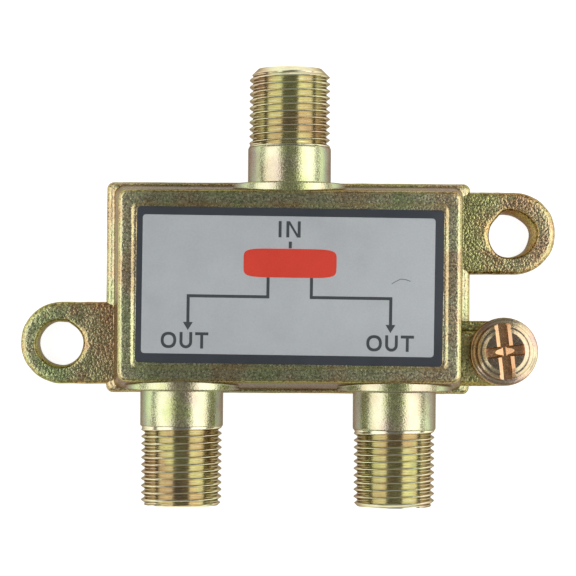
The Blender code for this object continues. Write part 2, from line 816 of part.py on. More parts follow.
def capacitor(name, place):
    """A ceramic disc with a round rim, standing on two leads."""
    x, y = place
    centre = BOARD_SEAT + LEAD_RISE + CAPACITOR_RADIUS
    half = CAPACITOR_THICKNESS / 2
    rim = arc((CAPACITOR_RADIUS - half, 0.0), half, math.pi / 2, -math.pi / 2, 6)
    body = turned(name, [(0.0, half), *rim, (0.0, -half)], SMALL_STEPS)
    body.matrix_world = Matrix.Translation((x, y, centre)) @ Matrix.Rotation(math.pi / 2, 4, "X")
    for side in (-1, 1):
        foot_x = x + side * LEAD_SPACING / 2
        lead = wire(
            f"{name}_lead_{side}", [(foot_x, y, BOARD_SEAT), (foot_x, y, centre)], LEAD_RADIUS
        )
        join(body, solid_of_curve(lead))
    as_part(body, ceramic(name + "_ceramic"))


def shade_round():
    """Smooth shading on curved surfaces, with edges kept sharp where faces meet at an angle."""
    for obj in bpy.data.collections[PARTS].objects:
        if obj.type == "MESH":
            obj.data.shade_smooth()
            obj.data.set_sharp_from_angle(angle=math.radians(35.0))


def main():
    clear_scene()
    housing()
    label()
    back_cover()
    port_fittings()
    ground_screw()
    ground_washer()
    circuit_board()
    for name, place, turns in CORES:
        core(name, place)
        winding(name, place, turns)
    isolation_resistor()
    for name, place in CAPACITORS:
        capacitor(name, place)
    shade_round()


main()
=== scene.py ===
"""Looks of the coaxial splitter: the finished casting, label, ground terminal and port fittings around
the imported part, with its camera, light and floor. Lengths are in metres, in the part's own frame."""

import math

import bmesh
import bpy
from mathutils import Matrix, Vector, noise


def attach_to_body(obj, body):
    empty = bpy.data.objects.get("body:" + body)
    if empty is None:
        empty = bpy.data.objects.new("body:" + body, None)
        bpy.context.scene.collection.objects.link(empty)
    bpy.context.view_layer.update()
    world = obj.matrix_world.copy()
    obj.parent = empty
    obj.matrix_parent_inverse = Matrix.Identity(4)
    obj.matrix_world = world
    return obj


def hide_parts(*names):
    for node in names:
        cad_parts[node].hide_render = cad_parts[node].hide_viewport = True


MM = 0.001

# Casting, from the part's own sizes
RIM_HALF = (20.92 * MM, 12.1 * MM)
RIM_CORNER = 0.8 * MM
RIM_HEIGHT = 3.0 * MM
WALL_FOOT = (20.3 * MM, 11.95 * MM)
WALL_LEAN = 1.3 * MM
WALL_CORNER = 1.1 * MM
BODY_DEPTH = 13.8 * MM
FRONT_EDGE = 0.6 * MM
RECESS_HALF = (17.4 * MM, 9.05 * MM)
RECESS_CORNER = 0.6 * MM
REBATE_HALF = (19.4 * MM, 11.05 * MM)
REBATE_TOP = 1.1 * MM
REBATE_EDGE = 0.12 * MM
CAVITY_HALF = (18.8 * MM, 10.45 * MM)
CAVITY_CORNER = 1.0 * MM
FRONT_CORNER = 0.55 * MM

# The rim's profile: distance outside its sides and height, in mm
RIM_PROFILE = (
    (-0.18, 0.0),
    (-0.05, 0.05),
    (0.0, 0.2),
    (0.0, 1.4),
    (0.0, 2.5),
    (-0.05, 2.66),
    (-0.15, 2.79),
    (-0.29, 2.89),
)

# Heights of the walls' foot and of the rows above it
WALL_START = 3.3 * MM
WALL_LEVELS = (5.0 * MM, 7.0 * MM, 9.0 * MM, 11.0 * MM, 12.4 * MM, 13.2 * MM)

# Edge of the label's recess: distance outside its wall and depth below the front in mm, and how far
# it follows the label's turn
RECESS_LIP = (
    (0.20, 0.0, 0.0),
    (0.13, 0.015, 0.0),
    (0.04, 0.055, 0.0),
    (-0.05, 0.10, 0.0),
    (-0.12, 0.13, 0.15),
    (-0.20, 0.15, 0.35),
    (-0.30, 0.16, 0.7),
    (-0.37, 0.165, 1.0),
    (-0.40, 0.18, 1.0),
    (-0.41, 0.40, 1.0),
)

# Ports
PORT_HEIGHT = 7.0 * MM
BOSS_END = 11.65 * MM
BOSS_RADIUS = 6.5 * MM
BOSS_EDGE = 0.2 * MM
BOSS_SINK = 0.5 * MM
PORT_END = 24.7 * MM
COLLAR_RADIUS = 4.7 * MM
COLLAR_FOOT = 0.18 * MM
THREAD_RADIUS = 4.58 * MM
THREAD_DEPTH = 0.42 * MM
THREAD_PITCH = 0.794 * MM
BORE_RADIUS = 3.0 * MM
BORE_EDGE = 0.2 * MM
SHOULDER = 12.7 * MM
SHOULDER_HOLE = 0.5 * MM
INSULATOR_FRONT = 24.3 * MM
INSULATOR_BACK = 19.7 * MM
PLUG_RADIUS = 2.9 * MM

# Fillet between boss and wall, in mm: its size, what it loses towards the front, and its least size
FILLET = 0.35
FILLET_LOSS = 0.29
LEAST_FILLET = 0.02

# Each port: name, place along X, direction, collar length, mouth chamfer, collar's rounded end
PORTS = (
    ("input", 0.0, 1, 4.2 * MM, 0.95 * MM, 0.35 * MM),
    ("output_left", -12.05 * MM, -1, 4.1 * MM, 0.4 * MM, 0.12 * MM),
    ("output_right", 12.05 * MM, -1, 4.4 * MM, 0.4 * MM, 0.25 * MM),
)

# Ears and ground lug
EAR_CENTRE = (26.05 * MM, 6.45 * MM)
EAR_RADIUS = 4.7 * MM
EAR_HOLE_RADIUS = 2.6 * MM
EAR_TOP = RIM_HEIGHT + 0.06 * MM
ROOT = 18.8 * MM
LUG_CENTRE = (24.58 * MM, -7.4 * MM)
SCREW_CENTRE = (24.58 * MM, -7.16 * MM)
LUG_RADIUS = 3.72 * MM
LUG_TOP = 5.2 * MM
LUG_STEP = 4.2 * MM
LUG_SHOULDER = 1.1 * MM
LUG_HOLE_RADIUS = 1.85 * MM
PAD_INSET = 0.3 * MM

# Lower edge of the ears and the lug: inset and height
TONGUE_BASE = ((0.0, 0.15 * MM), (0.14 * MM, 0.0))

# Rows of the ears' holes, back to front: growth of the radius and height in mm, and share of the lean
EAR_HOLE_ROWS = (
    (-0.02, 0.0, 0.0),
    (-0.08, 0.12, 0.0),
    (-0.08, 1.2, 0.3),
    (0.0, 2.3, 0.7),
    (0.08, 2.72, 0.9),
    (0.18, 2.92, 1.0),
    (0.32, 3.06, 1.0),
)

# Each ear: name, turn, shift and lean of its hole, the hole's waves (height in mm, number of them and
# turn) and its nick (depth in mm, place and width)
EARS = (
    (
        "ear_right",
        0.0,
        (-0.66 * MM, -0.34 * MM),
        (0.43 * MM, 0.18 * MM),
        ((0.07, 2, 0.6), (0.05, 3, 1.9), (0.03, 5, 0.0)),
        (0.22, 1.97, 0.3),
    ),
    (
        "ear_left",
        math.pi,
        (0.13 * MM, 0.1 * MM),
        (0.06 * MM, 0.02 * MM),
        ((0.03, 2, 2.0), (0.02, 4, 0.5)),
        (0.1, 4.4, 0.15),
    ),
)

# Unevenness of the cast faces: height and grain of its noise, and the height above which it starts
BODY_NOISE = (0.03 * MM, 1.6 * MM, 1.3 * MM)
EAR_NOISE = (0.05 * MM, 1.3 * MM, 0.1 * MM)
LUG_NOISE = (0.04 * MM, 1.2 * MM, 0.1 * MM)

# Ground screw and washer
SCREW_SEAT = 6.6 * MM
SCREW_RADIUS = 1.75 * MM
SCREW_THREAD_DEPTH = 0.35 * MM
SCREW_LENGTH = 6.0 * MM
SCREW_OVERLAP = 0.02 * MM
TIP_CHAMFER = 0.45 * MM
TIP_SLOPE = 0.9
HEAD_RADIUS = 3.2 * MM
HEAD_HEIGHT = 2.2 * MM
CUTTER_TOP = HEAD_HEIGHT + 0.6 * MM
HEAD_FLAT = 2.2 * MM
HEAD_SHOULDER = 1.6 * MM
HEAD_FOOT = 0.12 * MM
HEAD_SHIFT = (-0.12 * MM, 0.06 * MM)
HEAD_BEVEL = 0.05 * MM

# The head's two worn rings: distance outside its flat and depth below it, in mm
HEAD_RINGS = (
    (-0.06, 0.0),
    (0.0, 0.004),
    (0.04, 0.015),
    (0.1, 0.038),
    (0.3, 0.119),
    (0.42, 0.167),
    (0.48, 0.178),
    (0.56, 0.181),
    (0.61, 0.188),
    (0.67, 0.208),
    (0.84, 0.277),
    (0.92, 0.31),
)

# The slot, in mm: half its width at heights above the head's flat, and how far its mouth follows the
# rings down at distances along it
SLOT_SIDES = ((0.43, -0.9), (0.5, -0.17), (0.947, 0.02), (0.95, 0.6))
SLOT_DROPS = ((-4.0, 0.7), (-2.95, 0.3), (-2.0, 0.0), (2.0, 0.0), (2.95, 0.3), (4.0, 0.7))

# The cross's wings, in mm: half their length and half their width at depths below the head's flat.
# Their floor rises towards the right.
WING_LEVELS = ((0.96, 0.42, 0.8), (2.0, 0.5, 0.645), (2.14, 0.6, 0.2), (2.2, 0.64, -0.6))
WING_TILT = 0.079

# The star-shaped pit of the drive: distance from its middle, half its height there and its depth
# below the head's flat, in mm
PIT_ROWS = (
    (0.0, 0.9, 1.22),
    (0.15, 0.52, 1.22),
    (0.35, 0.36, 1.148),
    (0.75, 0.27, 1.004),
    (0.95, 0.18, 0.93),
    (1.08, 0.04, 0.884),
)
DRIVE_TURN = math.radians(6.8)
WASHER_BOTTOM = 5.5 * MM
WASHER_THICKNESS = 0.8 * MM
WASHER_RADIUS = 3.9 * MM

# Label and its silver panel
LABEL_HALF = (17.0 * MM, 8.65 * MM)
LABEL_CORNER = 0.45 * MM
LABEL_LOW = 13.45 * MM
LABEL_TOP = 13.65 * MM
LABEL_EDGE = 0.05 * MM
PANEL_HALF = (16.18 * MM, 7.67 * MM)
PANEL_CENTRE = (-0.16 * MM, 0.06 * MM)
PANEL_CORNER = 0.35 * MM
PANEL_EDGE = 0.003 * MM
PRINT_STEP = 0.008 * MM
PRINT_TURN = math.radians(-0.5)
PRINT_MATRIX = Matrix.Rotation(PRINT_TURN, 4, "Z")

# Legends on the panel, in mm: their height and stroke, and where each starts
LEGEND_HEIGHT = 1.8
LEGEND_STROKE = 0.33
OUT_PLACES = ((-14.17, -7.02), (8.56, -7.05))
IN_PLACE = (-1.32, 5.4)

# A plain diagram and bar between the legends, in mm. The output's line and arrow are the right ones.
LINE_WIDTH = 0.34
INPUT_LINE = ((0.0, 4.95), (0.0, 4.2))
OUTPUT_LINE = ((2.4, 0.95), (2.4, -1.2), (11.2, -1.2), (11.2, -4.1))
ARROW_TIP = -5.0
ARROW_HALF = 0.55
BAR_CENTRE = (0.0, 2.55)
BAR_HALF = (5.15, 1.6)

# The hair that lies on the panel, in mm
HAIR_WIDTH = 0.11
HAIR_LINE = ((11.26, 0.43), (11.7, 0.7), (12.23, 0.98), (12.8, 0.94), (13.35, 0.75))

# Back cover, and its rows: distance outside its sides, corner and height above its outer face, in mm
COVER_HALF = (19.25 * MM, 10.9 * MM)
COVER_LOW = 0.3 * MM
COVER_ROWS = (
    (0.0, 1.0, 0.5),
    (0.0, 1.0, 0.12),
    (-0.04, 1.0, 0.04),
    (-0.14, 1.0, 0.0),
    (-1.5, 1.2, 0.0),
    (-1.7, 1.2, 0.03),
    (-2.0, 1.2, 0.13),
    (-2.2, 1.2, 0.15),
)

# Camera, as the photograph's: the lens and sensor in mm, and the shift in shares of its 576 pixels
CAMERA_FOOT = (-4.36 * MM, -4.63 * MM)
CAMERA_HEIGHT = 270.0 * MM
CAMERA_TURN = math.radians(0.36)
CAMERA_LENS = 144.95
CAMERA_SENSOR = 36.0
CAMERA_SHIFT = (38.0 / 576, 40.0 / 576)

# Light boxes: name, place, size, power in watts and whether bright surfaces mirror them
LIGHTS = (
    ("left_box", (-0.36, 0.0, 0.30), (0.76, 0.42), 1.2, True),
    ("right_box", (0.27, 0.0, 0.225), (0.56, 0.32), 0.8, True),
    ("far_box", (0.0, 0.42, 0.32), (0.5, 0.36), 0.07, True),
    ("near_box", (0.0, -0.42, 0.32), (0.5, 0.36), 0.07, True),
    ("floor_fill", (0.0, 0.0, 0.9), (1.6, 1.6), 3.2, False),
)
SKY_COLOR = (0.96, 1.0, 0.98, 1.0)
SKY_STRENGTH = 0.145

# Floor: half its side, its distance below the part, its colour and its own glow
FLOOR_REACH = 2.5
FLOOR_DROP = 0.05 * MM
FLOOR_COLOR = (190, 190, 190)
FLOOR_GLOW = 0.85

# Points round a large and a small circle, round a corner and along the sides, and what welds two points
AROUND = 96
ANGLES = [math.tau * index / AROUND for index in range(AROUND)]
SMALL_AROUND = 64
CORNER_STEPS = 8
SIDE_STEPS = (56, 32)
PLATE_STEPS = (8, 6)
WELD = 0.0002 * MM

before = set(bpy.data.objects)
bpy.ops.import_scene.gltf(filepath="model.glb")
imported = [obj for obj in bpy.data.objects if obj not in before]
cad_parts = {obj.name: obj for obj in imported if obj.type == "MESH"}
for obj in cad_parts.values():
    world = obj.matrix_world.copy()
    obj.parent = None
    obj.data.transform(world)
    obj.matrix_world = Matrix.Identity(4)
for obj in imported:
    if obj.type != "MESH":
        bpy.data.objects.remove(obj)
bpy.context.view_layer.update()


# Mesh helpers


class Shape:
    """Points and faces of one piece, with a finish number for each face."""

    def __init__(self):
        self.points = []
        self.faces = []
        self.finishes = []

    def loft(self, rows, finish=0):
        """Quads between closed rows that have the same number of points."""
        first = len(self.points)
        count = len(rows[0])
        for row in rows:
            self.points.extend(Vector(point) for point in row)
        for level in range(len(rows) - 1):
            for index in range(count):
                after = (index + 1) % count
                low = first + level * count
                self.faces.append((low + index, low + after, low + count + after, low + count + index))
                self.finishes.append(finish)
        return self

    def cap(self, row):
        first = len(self.points)
        self.points.extend(Vector(point) for point in row)
        self.faces.append(tuple(range(first, first + len(row))))
        self.finishes.append(0)
        return self

    def placed(self, matrix):
        self.points = [matrix @ point for point in self.points]
        return self

    def build(self, name, finishes, sharp=35.0):
        """The finished object, welded, with smooth shading and sharp edges above an angle."""
        bm = bmesh.new()
        verts = [bm.verts.new(point) for point in self.points]
        for face, finish in zip(self.faces, self.finishes):
            made = bm.faces.new([verts[index] for index in face])
            made.material_index = finish
        bmesh.ops.remove_doubles(bm, verts=bm.verts, dist=WELD)
        bmesh.ops.dissolve_degenerate(bm, edges=bm.edges, dist=WELD)
        bmesh.ops.recalc_face_normals(bm, faces=bm.faces)
        return object_from(bm, name, finishes, sharp)


def prism(rows):
    """A closed solid through rows of points."""
    return Shape().loft(rows).cap(rows[0]).cap(rows[-1])


def add_object(name, data):
    obj = bpy.data.objects.new(name, data)
    bpy.context.scene.collection.objects.link(obj)
    return obj


def object_from(bm, name, finishes, sharp=35.0):
    mesh = bpy.data.meshes.new(name)
    bm.to_mesh(mesh)
    bm.free()
    mesh.shade_smooth()
    mesh.set_sharp_from_angle(angle=math.radians(sharp))
    for finish in finishes:
        mesh.materials.append(finish)
    return add_object(name, mesh)


def rounded_loop(half, corner, z, side_steps=SIDE_STEPS, centre=(0.0, 0.0)):
    """A rounded rectangle with the same number of points at every size."""
    signs = ((1, 1), (-1, 1), (-1, -1), (1, -1))
    points = []
    for index, (sign_x, sign_y) in enumerate(signs):
        middle = (centre[0] + sign_x * (half[0] - corner), centre[1] + sign_y * (half[1] - corner))
        start = math.pi / 2 * index
        for step in range(CORNER_STEPS + 1):
            angle = start + math.pi / 2 * step / CORNER_STEPS
            points.append(
                (middle[0] + corner * math.cos(angle), middle[1] + corner * math.sin(angle), z)
            )
        next_sign = signs[(index + 1) % 4]
        after = (
            centre[0] + next_sign[0] * (half[0] - corner) + corner * math.cos(start + math.pi / 2),
            centre[1] + next_sign[1] * (half[1] - corner) + corner * math.sin(start + math.pi / 2),
        )
        before = points[-1]
        steps = side_steps[index % 2]
        for step in range(1, steps):
            part = step / steps
            points.append(
                (before[0] + (after[0] - before[0]) * part, before[1] + (after[1] - before[1]) * part, z)
            )
    return points


def uneven_ring(radii, height, centre=(0.0, 0.0)):
    """A level ring of points at evenly spaced angles, each with its own radius."""
    points = []
    for index, radius in enumerate(radii):
        angle = math.tau * index / len(radii)
        points.append((centre[0] + radius * math.cos(angle), centre[1] + radius * math.sin(angle), height))
    return points


def ring(radius, height, steps=AROUND, centre=(0.0, 0.0)):
    return uneven_ring([radius] * steps, height, centre)


def grown(half, margin):
    return (half[0] + margin, half[1] + margin)


def quarter(start, end, steps, outward_first):
    """(radius, height) points on a quarter ellipse between two points, the first one left out."""
    points = []
    for step in range(1, steps + 1):
        angle = math.pi / 2 * step / steps
        along = (math.sin(angle), 1 - math.cos(angle))
        part_r, part_h = along if outward_first else along[::-1]
        points.append(
            (start[0] + (end[0] - start[0]) * part_r, start[1] + (end[1] - start[1]) * part_h)
        )
    return points


def rounding(inset, drop, steps):
    """(inset, drop) pairs that round an edge over, from its flat face to its side."""
    angles = [math.pi / 2 * step / steps for step in range(steps + 1)]
    return [(inset * (1 - math.sin(angle)), drop * (1 - math.cos(angle))) for angle in angles]


def smooth_step(value):
    value = min(max(value, 0.0), 1.0)
    return value * value * (3 - 2 * value)


def roughen(obj, amount, grain, above):
    """Moves the points above a height along their normals by smooth noise, as cast surfaces vary."""
    mesh = obj.data
    normals = [vertex.normal.copy() for vertex in mesh.vertices]
    for vertex, normal in zip(mesh.vertices, normals):
        if vertex.co.z > above:
            vertex.co += normal * amount * noise.noise(vertex.co / grain)
    mesh.update()


# Materials


def new_material(name):
    material = bpy.data.materials.new(name)
    material.use_nodes = True
    tree = material.node_tree
    return material, tree, tree.nodes["Principled BSDF"]


def add_noise(tree, scale, detail=2.0, stretch=(1.0, 1.0, 1.0), offset=(0, 0, 0)):
    """Noise in the piece's own coordinates, about 0 to 1. The scale is in cells per metre."""
    coordinates = tree.nodes.new("ShaderNodeTexCoord")
    mapping = tree.nodes.new("ShaderNodeMapping")
    mapping.inputs["Scale"].default_value = stretch
    mapping.inputs["Location"].default_value = offset
    texture = tree.nodes.new("ShaderNodeTexNoise")
    texture.inputs["Scale"].default_value = scale
    texture.inputs["Detail"].default_value = detail
    tree.links.new(coordinates.outputs["Object"], mapping.inputs["Vector"])
    tree.links.new(mapping.outputs["Vector"], texture.inputs["Vector"])
    return texture.outputs["Fac"]


def add_math(tree, operation, first, second):
    node = tree.nodes.new("ShaderNodeMath")
    node.operation = operation
    for socket, value in zip(node.inputs, (first, second)):
        if isinstance(value, (int, float)):
            socket.default_value = value
        else:
            tree.links.new(value, socket)
    return node.outputs[0]


def add_range(tree, value, low, high, to_low, to_high):
    node = tree.nodes.new("ShaderNodeMapRange")
    tree.links.new(value, node.inputs["Value"])
    for socket, number in zip(("From Min", "From Max", "To Min", "To Max"), (low, high, to_low, to_high)):
        node.inputs[socket].default_value = number
    return node.outputs["Result"]


def add_ramp(tree, value, stops):
    """A colour ramp through (place, colour) stops."""
    node = tree.nodes.new("ShaderNodeValToRGB")
    elements = node.color_ramp.elements
    while len(elements) < len(stops):
        elements.new(0.5)
    for element, (place, color) in zip(elements, stops):
        element.position = place
        element.color = (*linear(color), 1.0)
    tree.links.new(value, node.inputs["Fac"])
    return node.outputs["Color"]


def add_tint(tree, first, second):
    """The product of two colours."""
    node = tree.nodes.new("ShaderNodeMix")
    node.data_type = "RGBA"
    node.blend_type = "MULTIPLY"
    node.inputs[0].default_value = 1.0
    tree.links.new(first, node.inputs[6])
    tree.links.new(second, node.inputs[7])
    return node.outputs[2]


def add_bump(tree, shader, height, strength, distance):
    node = tree.nodes.new("ShaderNodeBump")
    node.inputs["Strength"].default_value = strength
    node.inputs["Distance"].default_value = distance
    tree.links.new(height, node.inputs["Height"])
    tree.links.new(node.outputs["Normal"], shader.inputs["Normal"])


def linear(color):
    """Linear values of an sRGB colour given as 0 to 255."""
    values = []
    for channel in color:
        part = channel / 255
        values.append(part / 12.92 if part <= 0.04045 else ((part + 0.055) / 1.055) ** 2.4)
    return tuple(values)


# Chromate films: what the plating's colour drifts through, from thin film to thick
CAST_FILM = (
    (0.20, (214, 228, 172)),
    (0.38, (236, 240, 184)),
    (0.50, (250, 242, 200)),
    (0.62, (248, 224, 186)),
    (0.76, (226, 210, 190)),
    (0.90, (198, 208, 166)),
)
COARSE_FILM = (
    (0.20, (214, 224, 180)),
    (0.38, (240, 240, 190)),
    (0.50, (252, 244, 200)),
    (0.62, (250, 222, 186)),
    (0.76, (228, 206, 194)),
    (0.90, (196, 206, 162)),
)
DULL_FILM = (
    (0.20, (198, 212, 136)),
    (0.50, (240, 230, 160)),
    (0.80, (222, 196, 156)),
)
TURNED_FILM = (
    (0.22, (220, 234, 206)),
    (0.40, (243, 244, 216)),
    (0.52, (246, 243, 224)),
    (0.64, (242, 226, 210)),
    (0.80, (222, 208, 210)),
)
THREAD_FILM = (
    (0.22, (228, 242, 212)),
    (0.40, (250, 252, 226)),
    (0.52, (252, 250, 228)),
    (0.64, (250, 238, 220)),
    (0.80, (236, 224, 218)),
)
SCREW_FILM = (
    (0.22, (214, 220, 190)),
    (0.40, (238, 230, 200)),
    (0.52, (240, 224, 198)),
    (0.66, (232, 206, 192)),
    (0.82, (198, 190, 198)),
)
RECESS_FILM = (
    (0.22, (232, 212, 186)),
    (0.40, (254, 242, 216)),
    (0.52, (254, 236, 214)),
    (0.66, (248, 222, 206)),
    (0.82, (226, 202, 200)),
)

# How the colour turns with a face's slope, the place being the upward part of its direction: partly the
# film's hue, partly painted shade where a ramp darkens faces, most of all steep faces that would mirror the
# bright floor
CAST_SLOPE_HUE_AND_SHADE = (
    (0.00, (176, 160, 164)),
    (0.12, (206, 190, 188)),
    (0.30, (206, 198, 184)),
    (0.52, (212, 218, 186)),
    (0.74, (246, 232, 212)),
    (0.90, (255, 250, 228)),
    (1.00, (255, 255, 255)),
)
TURNED_SLOPE_HUE_AND_SHADE = (
    (0.00, (176, 166, 162)),
    (0.30, (178, 170, 166)),
    (0.52, (176, 182, 172)),
    (0.64, (204, 218, 184)),
    (0.76, (244, 248, 216)),
    (0.92, (255, 253, 238)),
    (1.00, (240, 242, 196)),
)
THREAD_SLOPE_HUE_AND_SHADE = (
    (0.00, (190, 182, 172)),
    (0.30, (214, 206, 192)),
    (0.50, (238, 234, 216)),
    (0.75, (255, 254, 236)),
    (0.93, (255, 254, 244)),
    (1.00, (214, 216, 200)),
)
# Painted shade also on flat faces, such as the top of the screw's head
SCREW_SLOPE_HUE_AND_SHADE = (
    (0.00, (190, 156, 142)),
    (0.40, (232, 202, 180)),
    (0.70, (255, 238, 214)),
    (0.90, (255, 252, 240)),
    (0.985, (244, 232, 218)),
    (1.00, (216, 200, 198)),
)
# Painted shade on the flat floors of the slot, the cross's wings and the pit
RECESS_SLOPE_HUE_AND_SHADE = (
    (0.00, (255, 248, 236)),
    (0.40, (255, 250, 238)),
    (0.90, (240, 208, 180)),
    (0.96, (240, 196, 164)),
    (1.00, (255, 208, 172)),
)

# Painted shade: darkening of the faces that look along the ports, in place of the weaker light from the far
# and near sides
END_PAINTED_SHADE = (
    (0.00, (255, 255, 255)),
    (0.40, (244, 240, 234)),
    (1.00, (206, 196, 180)),
)
SOFT_END_PAINTED_SHADE = (
    (0.30, (255, 255, 255)),
    (1.00, (232, 226, 214)),
)

# Broad changes from the left end, at 31 mm, to the right one: on the ears, changes of the film's colour;
# across the front, painted light and shade, darker from left of the middle to the middle and lighter
# towards the right end
EVEN = ((0.0, (255, 255, 255)), (1.0, (255, 255, 255)))
FRONT_PAINTED_LIGHT = (
    (0.21, (255, 255, 255)),
    (0.26, (204, 207, 203)),
    (0.50, (210, 213, 209)),
    (0.66, (236, 238, 234)),
    (0.79, (255, 255, 255)),
)
EAR_FIELDS = (
    (0.00, (255, 255, 250)),
    (0.05, (238, 255, 230)),
    (0.11, (250, 248, 234)),
    (0.16, (255, 236, 222)),
    (0.85, (252, 252, 218)),
    (0.90, (255, 250, 232)),
    (0.96, (255, 242, 230)),
    (1.00, (255, 255, 250)),
)
REACH = 31.0 * MM

# What the film leaves of light that grazes it
GRAZING_TINT = (0.42, 0.36, 0.3, 1.0)


def plated(
    name, film, slope, grain, roughness, bump, drift, speckle, film_fields_and_light=EVEN, ends=END_PAINTED_SHADE, stretch=(1, 1, 1)
):
    """Iridescent yellow chromate over metal: its film drifts in colour and its hue turns with the slope,
    with painted shade on steep faces and on faces that look along the ports, and painted light and shade
    across the front where given.
    """
    material, tree, shader = new_material(name)
    shader.inputs["Metallic"].default_value = 1.0
    shader.inputs["Specular Tint"].default_value = GRAZING_TINT
    slow = add_noise(tree, drift, 3.0)
    fine = add_noise(tree, 1.0 / grain, 2.0, stretch)
    cells = add_noise(tree, 0.4 / grain, 1.0, stretch, offset=(0.011, 0.007, 0.003))
    spread = add_math(tree, "MULTIPLY", add_math(tree, "SUBTRACT", cells, 0.5), speckle)
    color = add_ramp(tree, add_math(tree, "ADD", slow, spread), film)
    coordinates = tree.nodes.new("ShaderNodeTexCoord")
    facing = tree.nodes.new("ShaderNodeSeparateXYZ")
    tree.links.new(coordinates.outputs["Normal"], facing.inputs[0])
    place = tree.nodes.new("ShaderNodeSeparateXYZ")
    tree.links.new(coordinates.outputs["Object"], place.inputs[0])
    drift_share = add_math(tree, "SUBTRACT", slow, 0.5)
    upward = add_math(tree, "ABSOLUTE", facing.outputs["Z"], 0.0)
    upward = add_math(tree, "SUBTRACT", upward, add_math(tree, "MULTIPLY", drift_share, 0.3))
    endwise = add_math(tree, "ABSOLUTE", facing.outputs["Y"], 0.0)
    across = add_range(tree, place.outputs["X"], -REACH, REACH, 0.0, 1.0)
    across = add_math(tree, "ADD", across, add_math(tree, "MULTIPLY", drift_share, 0.08))
    # Tints: the slope ramp (film hue and painted shade), the end ramp (painted shade) and the fields (film
    # colour on the ears, painted light and shade on the front)
    for value, stops in ((upward, slope), (endwise, ends), (across, film_fields_and_light)):
        color = add_tint(tree, color, add_ramp(tree, value, stops))
    depth = add_range(tree, fine, 0.35, 0.65, 1.0 - 1.4 * speckle, 1.0)
    scaled = tree.nodes.new("ShaderNodeVectorMath")
    scaled.operation = "SCALE"
    tree.links.new(color, scaled.inputs[0])
    tree.links.new(depth, scaled.inputs["Scale"])
    tree.links.new(scaled.outputs["Vector"], shader.inputs["Base Color"])
    rough = add_range(tree, fine, 0.3, 0.7, roughness * 0.8, roughness * 1.25)
    tree.links.new(rough, shader.inputs["Roughness"])
    add_bump(tree, shader, fine, bump, grain * 0.35)
    return material


def painted(name, color, spread, grain, roughness, bump=0.1, metallic=0.0, drift=400.0):
    """A plain finish with mottling: a colour that varies by a share, fine grain and a soft bump."""
    material, tree, shader = new_material(name)
    shader.inputs["Metallic"].default_value = metallic
    fine = add_noise(tree, 1.0 / grain, 2.0)
    slow = add_noise(tree, drift, 2.0, offset=(0.02, 0.01, 0.0))
    fine_share = add_math(tree, "MULTIPLY", fine, 0.6)
    slow_share = add_math(tree, "MULTIPLY", slow, 0.4)
    both = add_math(tree, "ADD", fine_share, slow_share)
    darker = tuple(channel * (1 - spread) for channel in color)
    lighter = tuple(min(channel * (1 + spread), 255) for channel in color)
    tone = add_ramp(tree, both, ((0.3, darker), (0.7, lighter)))
    rough = add_range(tree, slow, 0.3, 0.7, roughness * 0.85, roughness * 1.15)
    tree.links.new(tone, shader.inputs["Base Color"])
    tree.links.new(rough, shader.inputs["Roughness"])
    add_bump(tree, shader, fine, bump, grain * 0.3)
    return material


ALONG = (0.25, 2.0, 0.25)
CAST = plated("cast_plating", CAST_FILM, CAST_SLOPE_HUE_AND_SHADE, 0.22 * MM, 0.27, 0.7, 210.0, 0.27, FRONT_PAINTED_LIGHT)
COARSE = plated("coarse_plating", COARSE_FILM, CAST_SLOPE_HUE_AND_SHADE, 0.28 * MM, 0.25, 1.0, 260.0, 0.34, EAR_FIELDS)
DULL = plated("dull_plating", DULL_FILM, CAST_SLOPE_HUE_AND_SHADE, 0.28 * MM, 0.28, 1.0, 260.0, 0.34)
TURNED = plated("turned_plating", TURNED_FILM, TURNED_SLOPE_HUE_AND_SHADE, 0.2 * MM, 0.26, 0.3, 240.0, 0.12)
THREADED = plated(
    "threaded_plating", THREAD_FILM, THREAD_SLOPE_HUE_AND_SHADE, 0.22 * MM, 0.18, 0.12, 240.0, 0.1, EVEN, SOFT_END_PAINTED_SHADE,
    ALONG,
)
SCREW_PLATING = plated("screw_plating", SCREW_FILM, SCREW_SLOPE_HUE_AND_SHADE, 0.25 * MM, 0.22, 0.15, 420.0, 0.12)
RECESS_PLATING = plated(
    "recess_plating", RECESS_FILM, RECESS_SLOPE_HUE_AND_SHADE, 0.25 * MM, 0.22, 0.15, 420.0, 0.1, EVEN, SOFT_END_PAINTED_SHADE
)
LABEL_BLACK = painted("label_border", (50, 55, 62), 0.06, 0.12 * MM, 0.5, 0.15)
LABEL_SILVER = painted("label_silver", (184, 188, 191), 0.03, 0.14 * MM, 0.52, 0.15, 0.2)
INK_DARK = painted("dark_ink", (62, 66, 70), 0.05, 0.1 * MM, 0.55)
INK_RED = painted("red_ink", (214, 60, 40), 0.05, 0.1 * MM, 0.5)
INK_FAINT = painted("faint_ink", (126, 130, 134), 0.05, 0.1 * MM, 0.55)
PLASTIC = painted("white_plastic", (226, 225, 214), 0.02, 0.3 * MM, 0.42)
TIN = painted("tinned_steel", (188, 188, 184), 0.06, 0.5 * MM, 0.34, 0.2, 1.0, 120.0)
BRONZE = painted("spring_bronze", (210, 170, 110), 0.08, 0.2 * MM, 0.3, 0.1, 1.0)
LAMINATE = painted("board_laminate", (150, 108, 62), 0.12, 0.3 * MM, 0.5)
FERRITE = painted("ferrite", (62, 62, 66), 0.15, 0.12 * MM, 0.6, 0.3)
ENAMEL = painted("wire_enamel", (168, 84, 48), 0.1, 0.3 * MM, 0.3, 0.05, 0.7)
LACQUER = painted("resistor_lacquer", (202, 178, 134), 0.05, 0.3 * MM, 0.35)
CERAMIC = painted("capacitor_ceramic", (190, 122, 58), 0.08, 0.3 * MM, 0.45)


# Casting


def wall_half(z):
    lean = WALL_LEAN * z / BODY_DEPTH
    return (WALL_FOOT[0] - lean, WALL_FOOT[1] - lean)


